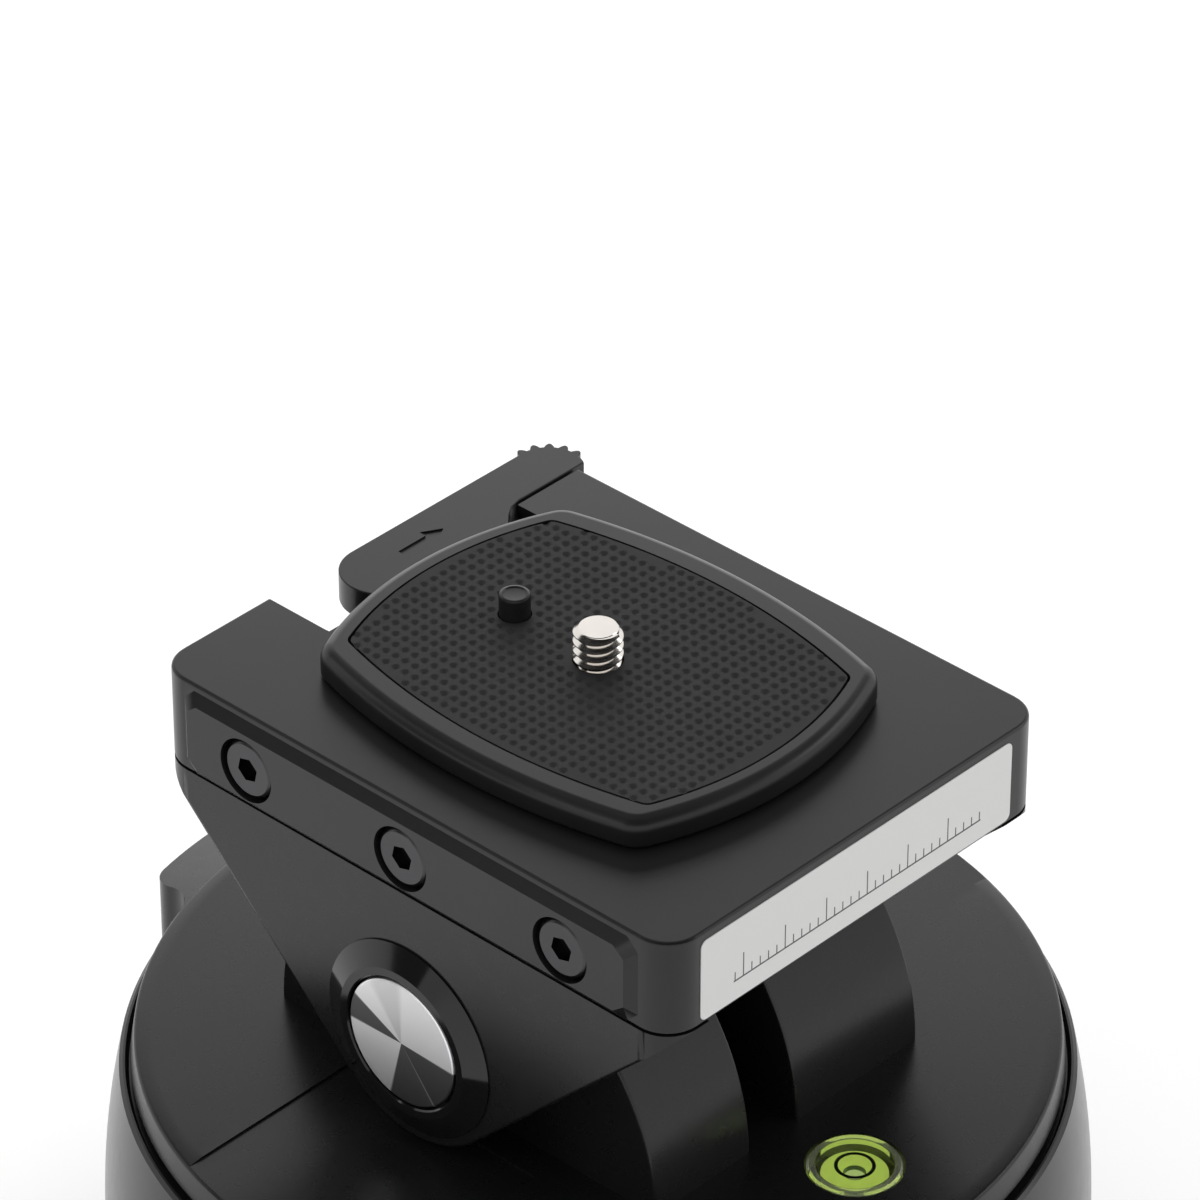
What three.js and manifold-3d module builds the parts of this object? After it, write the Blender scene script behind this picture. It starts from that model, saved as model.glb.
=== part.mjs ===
// Remote pan tilt head: a motorised turret that pans on a foot and carries a tilting camera platform.
// Millimetres, +Z up. The origin is the centre of the foot's underside, the tilt axle runs
// along X, and the platform's plain front face looks along -Y.
import * as THREE from 'three';
import { mergeVertices } from 'three/addons/utils/BufferGeometryUtils.js';
import Module from 'manifold-3d';

const wasm = await Module();
wasm.setup();

// Facet counts
const FINE = 44;
const ROUND = 20;
const INNER = 14;
const SMALL = 12;
const HEX_SIDES = 6;
const ARC_STEPS = 3;
const CROWN_STEPS = 3;
const BELLY_STEPS = 5;
const COIL_STEPS = 8;
const COIL_SIDES = 5;

// Clearances
const SEAT_GAP = 0.3;
const RUN_GAP = 0.7;
const CUT_OVER = 1;
const CUT_REACH = 80;
const MERGE_DISTANCE = 0.00001;

// Heights of the main levels
const BARREL_BOTTOM = 9;
const DISC_TOP = 62;
const AXLE_ABOVE_DISC = 16;
const PLATFORM_ABOVE_DISC = 38.1;
const PLATFORM_HEIGHT = 14;
const AXLE_Z = DISC_TOP + AXLE_ABOVE_DISC;
const PLATFORM_Z = DISC_TOP + PLATFORM_ABOVE_DISC;
const PLATFORM_TOP = PLATFORM_Z + PLATFORM_HEIGHT;

// Widths that lead the turret and the platform
const COVER_RADIUS = 60;
const HOUSING_HALF_X = 34.4;
const HOUSING_HALF_Y = 44.1;
const ARM_THICK = 7.1;

// Foot, its rubber ring, tripod bush and thrust bearing
const FOOT_RADIUS = 52;
const FOOT_BOTTOM = 1.2;
const FOOT_TOP = 7.4;
const FOOT_CHAMFER = 1.6;
const HUB_RADIUS = 15;
const RING_OUTER = 48;
const RING_WIDTH = 9;
const RING_SEAT_DEPTH = 1.3;
const BUSH_RADIUS = 7.5;
const BUSH_FLANGE_RADIUS = 10;
const BUSH_FLANGE = 1.5;
const BUSH_HEIGHT = 11;
const TRIPOD_THREAD_RADIUS = 3.175;
const BEARING_OUTER = 30;
const BEARING_WIDTH = 9;

// Barrel, measured out from the turntable cover's radius
const LEDGE_DROP = 4.6;
const LEDGE_STEP = 1.9;
const BELLY_PROUD = 2.7;
const LEDGE_RADIUS = COVER_RADIUS + LEDGE_STEP;
const BELLY_RADIUS = LEDGE_RADIUS + BELLY_PROUD;
const BARREL_WALL = 2.4;
const BARREL_FLOOR = 2.5;
const BARREL_EDGE = 1.5;
const LIP_HEIGHT = 1.8;
const LIP_WALL = 1.6;

// Turntable cover, and the clearance pockets under the tilt arms
const COVER_WALL = 2.4;
const ROLL_WIDTH = 2.4;
const ROLL_DROP = 1;
const SKIRT_DROP = 4.2;
const SKIRT_FLARE = 0.5;
const POCKET_HALF_WIDTH = 16.6;
const POCKET_FROM_SIDE = 5.1;
const POCKET_INNER_X = HOUSING_HALF_X - POCKET_FROM_SIDE;
const POCKET_DEPTH = 0.3;

// Half drums on the cover, with the gear slot between them
const DRUM_RADIUS = 33;
const DRUM_ARM_GAP = 2.6;
const DRUM_HALF_LENGTH = HOUSING_HALF_X - ARM_THICK - DRUM_ARM_GAP;
const DRUM_WALL = 2.5;
const DRUM_EDGE = 0.5;
const SLOT_LEFT = -7.1;
const SLOT_RIGHT = 1.5;
const SLOT_OPENING_HALF = 23.5;

// Rear block of the cover
const BLOCK_PROUD = 7.3;
const BLOCK_RADIUS = COVER_RADIUS + BLOCK_PROUD;
const BLOCK_HALF_ANGLE = THREE.MathUtils.degToRad(12.5);
const BLOCK_CORNER = 3.5;
const BLOCK_FILLET = 5;
const BLOCK_WALL = 2;
const BLOCK_DROP = 1.8;

// Gears, all of one module
const PAN_PITCH_RADIUS = 24;
const PRESSURE_ANGLE = THREE.MathUtils.degToRad(20);
const BACKLASH = 0.36;
const ADDENDUM_SHARE = 0.9;
const DEDENDUM_SHARE = 1.2;
const PAN_TEETH = 48;
const GEAR_MODULE = 2 * PAN_PITCH_RADIUS / PAN_TEETH;
const PINION_TEETH = 12;
const TILT_TEETH = 52;
const SECTOR_TEETH = 11;
const PAN_GEAR_THICK = 4.6;
const TILT_GEAR_THICK = 5;
const SECTOR_HUB_RADIUS = 7;
const SECTOR_HOLE_RADIUS = 2.7;
const SECTOR_HOLE_REACH = 16;
const SECTOR_HOLE_ANGLE = THREE.MathUtils.degToRad(23);

// Motors and their brackets
const MOTOR_RADIUS = 10;
const PAN_MOTOR_LENGTH = 30;
const TILT_MOTOR_LENGTH = 36;
const GEARBOX_LENGTH = 12;
const MOTOR_STEP = 1;
const MOTOR_STUB_RADIUS = 3;
const SHAFT_RADIUS = 1.5;
const SHAFT_LENGTH = 8;
const SHEET = 1.6;
const PAN_BRACKET_HALF_X = 15;
const PAN_BRACKET_FRONT = -43;
const PAN_BRACKET_LEG_REAR = -27.5;
const PAN_BRACKET_REAR = -19;
const TILT_BRACKET_HALF_Y = 13;
const TILT_BRACKET_TOP_HALF_Y = 37.4;
const TILT_BRACKET_ARM_HEIGHT = 7;
const TILT_BRACKET_FLANGE = 8;

// Battery and circuit board
const CELL_RADIUS = 9.2;
const CELL_LENGTH = 60;
const BATTERY_CLEAR = 3.2;
const BOARD_INSET = 3;
const BOARD_OVERLAP = 0.7;
const BOARD_HALF_WIDTH = BLOCK_RADIUS * Math.sin(BLOCK_HALF_ANGLE) + BOARD_OVERLAP;
const BOARD_HEIGHT = 40;

// Switch, charging socket and light in the rear block
const PORT_Z = 46;
const SWITCH_X = -6;
const SWITCH_BODY_HALF_X = 5;
const SWITCH_BODY_HALF_Z = 2.8;
const SWITCH_SLOT_HALF_X = 3.6;
const SWITCH_SLOT_HALF_Z = 1.7;
const SWITCH_KNOB_HALF_X = 1.5;
const SWITCH_KNOB_HALF_Z = 1.4;
const SWITCH_KNOB_PROUD = 1.1;
const SWITCH_KNOB_ROOT = 1.4;
const SWITCH_TRAVEL = 3.6;
const SOCKET_Z = 32;
const SOCKET_HALF_X = 4.6;
const SOCKET_HALF_Z = 1.9;
const SOCKET_CORNER = 1.5;
const SOCKET_WALL = 0.6;
const SOCKET_DEPTH = 6;
const LIGHT_X = 6;
const LIGHT_RADIUS = 1.5;

// Bubble level
const LEVEL_INWARD = 2.2;
const LEVEL_Y = LEVEL_INWARD - (DRUM_RADIUS + COVER_RADIUS) / 2;
const LEVEL_RADIUS = 6.1;
const LEVEL_WALL = 0.7;
const LEVEL_DEPTH = 6;
const LEVEL_FLOOR = 0.8;
const LEVEL_WINDOW_THICK = 1.6;
const LEVEL_PROUD = 0.2;

// Tilt axle and its bushes
const AXLE_RADIUS = 4;
const AXLE_END_DEPTH = 2.4;
const AXLE_HALF_LENGTH = HOUSING_HALF_X - AXLE_END_DEPTH;
const AXLE_CHAMFER = 0.6;
const AXLE_BUSH_WALL = 2.3;
const AXLE_BUSH_FLANGE = 2;
const AXLE_BUSH_FLANGE_THICK = 0.8;

// Platform housing
const HOUSING_CORNER = 4.9;
const HOUSING_BEVEL = 0.5;
const HOUSING_WALL = 2.8;
const PARTING_GAP = 0.35;
const PANEL_PROUD = 1.1;
const PANEL_INSET = 1.4;
const PANEL_HALF_Y = HOUSING_HALF_Y - HOUSING_CORNER - SEAT_GAP;
const PANEL_TOP_DROP = 0.9;
const PANEL_CORNER_CUT = 1.8;
const CAVITY_HEIGHT = 7.8;
const CHANNEL_CLEAR = 3;
const CHANNEL_INNER_X = HOUSING_HALF_X - ARM_THICK - CHANNEL_CLEAR;
const CHANNEL_HEIGHT = 11.4;
const FLOOR_THICK = 2;

// Rear notch and plate socket in the platform
const NOTCH_LEFT = -14.5;
const NOTCH_DEPTH = 8.4;
const NOTCH_FRONT = HOUSING_HALF_Y - NOTCH_DEPTH;
const NOTCH_WALL = 4.5;
const CAVITY_REAR = NOTCH_FRONT - NOTCH_WALL;
const NOTCH_FLOOR_UP = 3.4;
const NOTCH_CORNER = 2;
const CAM_CUT_LEFT = -6.4;
const CAM_CUT_RIGHT = 22.7;
const PLATE_SOCKET_DEPTH = 4.2;

// Side screws
const SCREW_END_INSET = 17.1;
const SCREW_PITCH = HOUSING_HALF_Y - SCREW_END_INSET;
const SCREW_UP = 6.3;
const SCREW_HEAD_RADIUS = 4.2;
const SCREW_HEAD_HEIGHT = 2.2;
const SCREW_BELOW_FACE = 0.3;
const SCREW_BORE_RADIUS = 4.5;
const SCREW_SHANK_RADIUS = 2;
const SCREW_SHANK_LENGTH = 4.6;
const HEX_RADIUS = 1.75;
const HEX_DEPTH = 1.5;

// Tilt arms with their hub rings and axle caps
const ARM_HUB_RADIUS = 15.4;
const TONGUE_THICK = 4;
const TONGUE_INSET = 11.1;
const TONGUE_FRONT = TONGUE_INSET - HOUSING_HALF_Y;
const TONGUE_HEIGHT = 10.8;
const INNER_HUB_RADIUS = 11;
const HUB_RING_OUTER = 13.9;
const HUB_RING_TOP = 10.7;
const HUB_RING_INNER = 9.4;
const HUB_RING_SPIGOT = 11.8;
const HUB_RING_HEIGHT = 1.6;
const HUB_SEAT_DEPTH = 0.8;
const AXLE_CAP_RADIUS = 9.1;
const AXLE_CAP_THICK = 2;
const AXLE_CAP_EDGE = 0.3;

// Release lever, its pin and its spring
const PIVOT_X = 0.3;
const PIVOT_INSET = 6.1;
const PIVOT_Y = HOUSING_HALF_Y - PIVOT_INSET;
const PIVOT_END_RADIUS = 5.8;
const LEVER_THICK = 4.4;
const LEVER_INNER_EDGE = NOTCH_FRONT + SEAT_GAP;
const LEVER_TIP_INSET = 2.5;
const LEVER_TIP_X = HOUSING_HALF_X - LEVER_TIP_INSET;
const LEVER_TIP_RADIUS = 4.8;
const CAM_NOSE_LEFT = 1.5;
const CAM_NOSE_RIGHT = 15.5;
const CAM_END_X = 22.1;
const CAM_REACH = 7.6;
const GRIP_BUMPS = 5;
const GRIP_BUMP_RADIUS = 0.9;
const GRIP_FIRST_ANGLE = THREE.MathUtils.degToRad(88);
const GRIP_STEP_ANGLE = THREE.MathUtils.degToRad(-23);
const LEVER_PIN_RADIUS = 2;
const LEVER_PIN_IN_LEVER = 2.6;
const LEVER_PIN_IN_POST = 4;
const PIN_POST_RADIUS = 3.3;
const LEVER_SPRING_WIRE = 0.8;
const LEVER_SPRING_TURNS = 3;
const LEVER_SPRING_PITCH = 1.4;

// Quick-release plate with its pad
const PLATE_HALF_X = 26.4;
const PLATE_HALF_Y = 32.5;
const PLATE_BOW_X = 4;
const PLATE_BOW_Y = 5.3;
const PLATE_CORNER = 4.2;
const PLATE_RIM_HEIGHT = 4;
const PLATE_ROUND_INSET = 1.7;
const PLATE_ROUND_DROP = 1.9;
const PLATE_FOOT_HALF_X = 19.5;
const PLATE_FOOT_FRONT = -24;
const PLATE_FOOT_CORNER = 2;
const PAD_HALF_X = 22.1;
const PAD_HALF_Y = 29.2;
const PAD_BOW_X = 3.7;
const PAD_BOW_Y = 3.8;
const PAD_CORNER = 1.4;
const PAD_THICK = 1.2;

// Camera screw
const CAMERA_SCREW_RADIUS = 3.175;
const CAMERA_SCREW_UP = 4.8;
const CAMERA_SCREW_CHAMFER = 0.6;
const CAMERA_HEAD_RADIUS = 8;
const CAMERA_HEAD_HEIGHT = 2.4;
const COIN_SLOT_WIDTH = 1.8;
const COIN_SLOT_DEPTH = 1.2;

// Anti-twist pin, its spring and plug
const PIN_Y = 14.4;
const PIN_RADIUS = 2.05;
const PIN_UP = 3.1;
const PIN_EDGE = 0.3;
const PIN_FLANGE_RADIUS = 2.9;
const PIN_FLANGE_THICK = 0.8;
const PIN_CHAMBER_ROOF = 1;
const PIN_TOP_WALL = 1.2;
const PIN_PLUG_THICK = 0.7;
const PIN_SPRING_RADIUS = 0.95;
const PIN_SPRING_WIRE = 0.35;
const PIN_SPRING_TURNS = 4;

// Small makers of solids

function toSolid(geometry) {
  const bare = geometry.clone();
  bare.deleteAttribute('normal');
  bare.deleteAttribute('uv');
  const merged = mergeVertices(bare, MERGE_DISTANCE);
  const points = merged.attributes.position;
  const corners = Array.from(merged.index.array);
  const at = (i) => new THREE.Vector3().fromBufferAttribute(points, corners[i]);
  let volume = 0;
  for (let i = 0; i < corners.length; i += 3) {
    volume += at(i).dot(at(i + 1).cross(at(i + 2)));
  }
  if (volume < 0) {
    corners.reverse();
  }
  return new wasm.Manifold(new wasm.Mesh({
    numProp: 3,
    vertProperties: new Float32Array(points.array),
    triVerts: new Uint32Array(corners),
  }));
}

function toGeometry(solid) {
  const data = solid.getMesh();
  const geometry = new THREE.BufferGeometry();
  geometry.setAttribute('position', new THREE.BufferAttribute(data.vertProperties, data.numProp));
  geometry.setIndex(new THREE.BufferAttribute(data.triVerts, 1));
  return geometry;
}

function mirrorX(solid) {
  return toSolid(toGeometry(solid).scale(-1, 1, 1));
}

function block(low, high) {
  const size = high.map((value, i) => value - low[i]);
  const geometry = new THREE.BoxGeometry(...size);
  return toSolid(geometry.translate(...low.map((value, i) => value + size[i] / 2)));
}

function rod(radius, low, high, x = 0, y = 0, facets = SMALL) {
  const geometry = new THREE.CylinderGeometry(radius, radius, high - low, facets);
  return toSolid(geometry.rotateX(Math.PI / 2).translate(x, y, (low + high) / 2));
}

function rodAlongX(radius, low, high, y, z, facets = SMALL) {
  const geometry = new THREE.CylinderGeometry(radius, radius, high - low, facets);
  return toSolid(geometry.rotateZ(Math.PI / 2).translate((low + high) / 2, y, z));
}

function rodAlongY(radius, low, high, x, z, facets = SMALL) {
  const geometry = new THREE.CylinderGeometry(radius, radius, high - low, facets);
  return toSolid(geometry.translate(x, (low + high) / 2, z));
}

// A turned piece about Z from [radius, height] points.
function turned(profile, facets = FINE, x = 0, y = 0) {
  const points = profile.map(([radius, height]) => new THREE.Vector2(radius, height));
  const geometry = new THREE.LatheGeometry(points, facets).rotateX(Math.PI / 2);
  return toSolid(geometry.translate(x, y, 0));
}

// A turned piece about an axis along X from [radius, x] points.
function turnedAlongX(profile, y, z, facets = ROUND) {
  const points = profile.map(([radius, along]) => new THREE.Vector2(radius, along));
  const geometry = new THREE.LatheGeometry(points, facets).rotateZ(-Math.PI / 2);
  return toSolid(geometry.translate(0, y, z));
}

// A turned ring about Z of rectangular section.
function ringSection(inner, outer, low, high) {
  return [[inner, low], [outer, low], [outer, high], [inner, high], [inner, low]];
}

function prism(shape, low, high) {
  const geometry = new THREE.ExtrudeGeometry(shape, {
    depth: high - low, bevelEnabled: false, curveSegments: ARC_STEPS,
  });
  return toSolid(geometry.translate(0, 0, low));
}

// A prism drawn in the YZ plane and pushed along X.
function prismAlongX(shape, low, high) {
  const geometry = new THREE.ExtrudeGeometry(shape, {
    depth: high - low, bevelEnabled: false, curveSegments: ARC_STEPS,
  });
  return toSolid(geometry.rotateY(Math.PI / 2).rotateX(Math.PI / 2).translate(low, 0, 0));
}

// A prism drawn in the XZ plane and pushed along Y.
function prismAlongY(shape, low, high) {
  const geometry = new THREE.ExtrudeGeometry(shape, {
    depth: high - low, bevelEnabled: false, curveSegments: ARC_STEPS,
  });
  return toSolid(geometry.rotateX(Math.PI / 2).translate(0, high, 0));
}

// A prism whose both ends are drawn in by a rounded or straight bevel.
function bevelled(shape, length, drop, inset, steps) {
  return new THREE.ExtrudeGeometry(shape, {
    depth: length - 2 * drop,
    bevelEnabled: true,
    bevelThickness: drop,
    bevelSize: inset,
    bevelOffset: -inset,
    bevelSegments: steps,
    curveSegments: ARC_STEPS,
  }).translate(0, 0, drop);
}

// A prism with its top edge bevelled and its bottom left square.
function crownedPrism(shape, low, high, drop, inset, steps) {
  const start = low - drop - CUT_OVER;
  const body = toSolid(bevelled(shape, high - start, drop, inset, steps).translate(0, 0, start));
  return body.subtract(block([-CUT_REACH, -CUT_REACH, start - CUT_OVER], [CUT_REACH, CUT_REACH, low]));
}

function outline(points) {
  return new THREE.Shape(points.map(([x, y]) => new THREE.Vector2(x, y)));
}

function roundedRectangle(left, front, right, rear, corner) {
  const shape = new THREE.Shape();
  shape.moveTo(left + corner, front);
  shape.absarc(right - corner, front + corner, corner, -Math.PI / 2, 0);
  shape.absarc(right - corner, rear - corner, corner, 0, Math.PI / 2);
  shape.absarc(left + corner, rear - corner, corner, Math.PI / 2, Math.PI);
  shape.absarc(left + corner, front + corner, corner, Math.PI, 1.5 * Math.PI);
  return shape;
}

function arcPoints(centre, radius, from, to, steps = ARC_STEPS) {
  return Array.from({ length: steps + 1 }, (_, i) => {
    const angle = from + (to - from) * i / steps;
    return [centre[0] + radius * Math.cos(angle), centre[1] + radius * Math.sin(angle)];
  });
}

// A rectangle whose four sides bow outwards, with rounded corners.
function bowedRectangle(halfX, halfY, bowX, bowY, corner) {
  const radiusX = ((halfY - bowY) ** 2 + bowX ** 2) / (2 * bowX);
  const radiusY = ((halfX - bowX) ** 2 + bowY ** 2) / (2 * bowY);
  const sideCentre = [halfX - radiusX, 0];
  const endCentre = [0, halfY - radiusY];
  // The corner arc touches both bowed sides from inside, so its centre is known from both.
  const reachX = radiusX - corner;
  const reachY = radiusY - corner;
  const apart = Math.hypot(sideCentre[0], endCentre[1]);
  const along = (reachX ** 2 - reachY ** 2 + apart ** 2) / (2 * apart);
  const off = Math.sqrt(reachX ** 2 - along ** 2);
  const unit = [-sideCentre[0] / apart, endCentre[1] / apart];
  const cornerCentre = [
    sideCentre[0] + unit[0] * along - unit[1] * off,
    unit[1] * along + unit[0] * off,
  ];
  const sideAngle = Math.atan2(cornerCentre[1], cornerCentre[0] - sideCentre[0]);
  const endAngle = Math.atan2(cornerCentre[1] - endCentre[1], cornerCentre[0]);
  const quarter = [
    ...arcPoints(sideCentre, radiusX, 0, sideAngle),
    ...arcPoints(cornerCentre, corner, sideAngle, endAngle).slice(1),
    ...arcPoints(endCentre, radiusY, endAngle, Math.PI / 2).slice(1),
  ];
  const leftHalf = quarter.slice(0, -1).reverse().map(([x, y]) => [-x, y]);
  const upper = [...quarter, ...leftHalf];
  const lower = upper.slice(1, -1).reverse().map(([x, y]) => [x, -y]);
  return outline([...upper, ...lower]);
}

// An even coil about a vertical axis: one closed tube that prints its least gap to itself.
function coil(name, radius, wire, turns, pitch, low, x, y) {
  const steps = turns * COIL_STEPS;
  const path = Array.from({ length: steps + 1 }, (_, i) => {
    const angle = 2 * Math.PI * i / COIL_STEPS;
    const height = low + wire / 2 + pitch * i / COIL_STEPS;
    return new THREE.Vector3(x + radius * Math.cos(angle), y + radius * Math.sin(angle), height);
  });
  let least = Infinity;
  path.forEach((point, i) => path.slice(i + COIL_STEPS - 1).forEach((other) => {
    least = Math.min(least, point.distanceTo(other) - wire);
  }));
  console.log(`${name}: least gap between turns ${least.toFixed(2)} mm`);
  const positions = [];
  const index = [];
  path.forEach((point, i) => {
    const outward = new THREE.Vector3(point.x - x, point.y - y, 0).normalize();
    for (let k = 0; k < COIL_SIDES; k += 1) {
      const angle = 2 * Math.PI * k / COIL_SIDES;
      const out = outward.clone().multiplyScalar(wire / 2 * Math.cos(angle));
      positions.push(point.x + out.x, point.y + out.y, point.z + wire / 2 * Math.sin(angle));
      if (i < steps) {
        const a = i * COIL_SIDES + k;
        const b = i * COIL_SIDES + (k + 1) % COIL_SIDES;
        index.push(a, b, a + COIL_SIDES, b, b + COIL_SIDES, a + COIL_SIDES);
      }
    }
  });
  const last = steps * COIL_SIDES;
  for (let k = 1; k + 1 < COIL_SIDES; k += 1) {
    index.push(0, k + 1, k, last, last + k, last + k + 1);
  }
  const geometry = new THREE.BufferGeometry();
  geometry.setAttribute('position', new THREE.Float32BufferAttribute(positions, 3));
  geometry.setIndex(index);
  return toSolid(geometry);
}

// Gears with involute flanks

function toothHalfAngle(teeth, radius) {
  const pitchRadius = teeth * GEAR_MODULE / 2;
  const baseRadius = pitchRadius * Math.cos(PRESSURE_ANGLE);
  const involute = (r) => {
    const roll = Math.acos(Math.min(1, baseRadius / r));
    return Math.tan(roll) - roll;
  };
  const halfAtPitch = (Math.PI * GEAR_MODULE / 2 - BACKLASH) / (2 * pitchRadius);
  return halfAtPitch + involute(pitchRadius) - involute(Math.max(radius, baseRadius));
}

// The teeth's outline round the origin, with the middle tooth's centre at the given angle.
function toothPoints(teeth, count, middle) {
  const pitchRadius = teeth * GEAR_MODULE / 2;
  const tip = pitchRadius + ADDENDUM_SHARE * GEAR_MODULE;
  const root = pitchRadius - DEDENDUM_SHARE * GEAR_MODULE;
  const flank = [root, pitchRadius, tip];
  const points = [];
  for (let tooth = 0; tooth < count; tooth += 1) {
    const centre = middle + 2 * Math.PI * (tooth - Math.floor(count / 2)) / teeth;
    flank.forEach((r) => points.push([r, centre - toothHalfAngle(teeth, r)]));
    flank.slice().reverse().forEach((r) => points.push([r, centre + toothHalfAngle(teeth, r)]));
  }
  return points.map(([r, angle]) => [r * Math.cos(angle), r * Math.sin(angle)]);
}

function shifted(points, x, y) {
  return points.map((point) => [point[0] + x, point[1] + y]);
}

// The rear block's corner and fillet centres, with the outline grown by a margin.
function blockCorner(margin) {
  const rim = COVER_RADIUS + margin;
  const corner = BLOCK_CORNER + margin;
  const fillet = BLOCK_FILLET - margin;
  const cornerReach = BLOCK_RADIUS - BLOCK_CORNER;
  const filletReach = COVER_RADIUS + BLOCK_FILLET;
  const apart = BLOCK_CORNER + BLOCK_FILLET;
  const between = Math.acos(
    (cornerReach ** 2 + filletReach ** 2 - apart ** 2) / (2 * cornerReach * filletReach));
  const cornerAngle = Math.PI / 2 - BLOCK_HALF_ANGLE;
  const filletAngle = cornerAngle - between;
  const cornerAt = [cornerReach * Math.cos(cornerAngle), cornerReach * Math.sin(cornerAngle)];
  const filletAt = [filletReach * Math.cos(filletAngle), filletReach * Math.sin(filletAngle)];
  return { rim, corner, fillet, cornerAngle, filletAngle, cornerAt, filletAt };
}

// The cover's outline with its rear block, grown by a margin.
function coverOutline(margin) {
  const { rim, corner, fillet, cornerAngle, filletAngle, cornerAt, filletAt } = blockCorner(margin);
  const meet = Math.atan2(cornerAt[1] - filletAt[1], cornerAt[0] - filletAt[0]);
  const half = [
    ...arcPoints(filletAt, fillet, filletAngle + Math.PI, meet),
    ...arcPoints(cornerAt, corner, meet - Math.PI, cornerAngle).slice(1),
    ...arcPoints([0, 0], BLOCK_RADIUS + margin, cornerAngle, Math.PI / 2).slice(1),
  ];
  const mirrored = half.slice(0, -1).reverse().map(([x, y]) => [-x, y]);
  const rest = arcPoints([0, 0], rim, Math.PI - filletAngle, 2 * Math.PI + filletAngle, FINE);
  return outline([...half, ...mirrored, ...rest.slice(1, -1)]);
}

// Finishes
const finish = (color, roughness, metalness = 0) =>
  new THREE.MeshStandardMaterial({ color, roughness, metalness });
const blackShell = () => finish(0x1c1c1e, 0.4);
const blackSatin = () => finish(0x202022, 0.35);
const glossBlack = () => finish(0x0d0d0e, 0.12);
const blackRubber = () => finish(0x1a1a1a, 0.85);
const steel = () => finish(0xb8b8ba, 0.3, 1);
const darkSteel = () => finish(0x2a2a2c, 0.35, 0.8);
const nickel = () => finish(0xd4cdc4, 0.22, 1);
const spunAluminium = () => finish(0xdadada, 0.25, 1);
const brass = () => finish(0xb59a56, 0.35, 1);
const greenFluid = () => finish(0xa6e22e, 0.1);
const clearAcrylic = () => finish(0xe9f3df, 0.05);
const boardGreen = () => finish(0x1f5b36, 0.6);
const cellWrap = () => finish(0x2d6db0, 0.5);
const whiteNylon = () => finish(0xe6e6e0, 0.5);

const head = new THREE.Group();
function add(name, solid, material) {
  const mesh = new THREE.Mesh(toGeometry(solid), material);
  mesh.name = name;
  head.add(mesh);
}

// Foot: a turned plate with a hub that rises through the barrel's floor
const barrelFloorTop = BARREL_BOTTOM + BARREL_FLOOR;
const panGearLow = barrelFloorTop + SEAT_GAP;
const panGearHigh = panGearLow + PAN_GEAR_THICK;
const bushTop = FOOT_BOTTOM + BUSH_HEIGHT;
const ringInner = RING_OUTER - RING_WIDTH;
const ringSeat = turned(
  ringSection(ringInner, RING_OUTER, FOOT_BOTTOM - CUT_OVER, FOOT_BOTTOM + RING_SEAT_DEPTH), ROUND);
const bushSeat = turned([
  [0, FOOT_BOTTOM - CUT_OVER],
  [BUSH_FLANGE_RADIUS + SEAT_GAP, FOOT_BOTTOM - CUT_OVER],
  [BUSH_FLANGE_RADIUS + SEAT_GAP, FOOT_BOTTOM + BUSH_FLANGE + SEAT_GAP],
  [BUSH_RADIUS + SEAT_GAP, FOOT_BOTTOM + BUSH_FLANGE + SEAT_GAP],
  [BUSH_RADIUS + SEAT_GAP, bushTop + SEAT_GAP],
  [0, bushTop + SEAT_GAP],
], INNER);
add('foot_plate', turned([
  [0, FOOT_BOTTOM],
  [FOOT_RADIUS - FOOT_CHAMFER, FOOT_BOTTOM],
  [FOOT_RADIUS, FOOT_BOTTOM + FOOT_CHAMFER],
  [FOOT_RADIUS, FOOT_TOP - FOOT_CHAMFER],
  [FOOT_RADIUS - FOOT_CHAMFER, FOOT_TOP],
  [HUB_RADIUS, FOOT_TOP],
  [HUB_RADIUS, panGearHigh],
  [0, panGearHigh],
]).subtract(ringSeat).subtract(bushSeat), blackSatin());
const ringTop = FOOT_BOTTOM + RING_SEAT_DEPTH - SEAT_GAP;
add('foot_ring', turned(
  ringSection(ringInner + SEAT_GAP, RING_OUTER - SEAT_GAP, 0, ringTop), ROUND), blackRubber());
add('tripod_bush', turned([
  [TRIPOD_THREAD_RADIUS, FOOT_BOTTOM],
  [BUSH_FLANGE_RADIUS, FOOT_BOTTOM],
  [BUSH_FLANGE_RADIUS, FOOT_BOTTOM + BUSH_FLANGE],
  [BUSH_RADIUS, FOOT_BOTTOM + BUSH_FLANGE],
  [BUSH_RADIUS, bushTop],
  [TRIPOD_THREAD_RADIUS, bushTop],
  [TRIPOD_THREAD_RADIUS, FOOT_BOTTOM],
], INNER), brass());
const bearingInner = BEARING_OUTER - BEARING_WIDTH;
add('pan_bearing', turned(ringSection(
  bearingInner, BEARING_OUTER, FOOT_TOP + SEAT_GAP, BARREL_BOTTOM - SEAT_GAP), ROUND), steel());
const panTeeth = outline(toothPoints(PAN_TEETH, PAN_TEETH, -Math.PI / 2));
const panGear = prism(panTeeth, panGearLow, panGearHigh);
const hubWay = rod(
  HUB_RADIUS + SEAT_GAP, BARREL_BOTTOM - CUT_OVER, panGearHigh + CUT_OVER, 0, 0, ROUND);
add('pan_gear', panGear.subtract(hubWay), whiteNylon());

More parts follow.
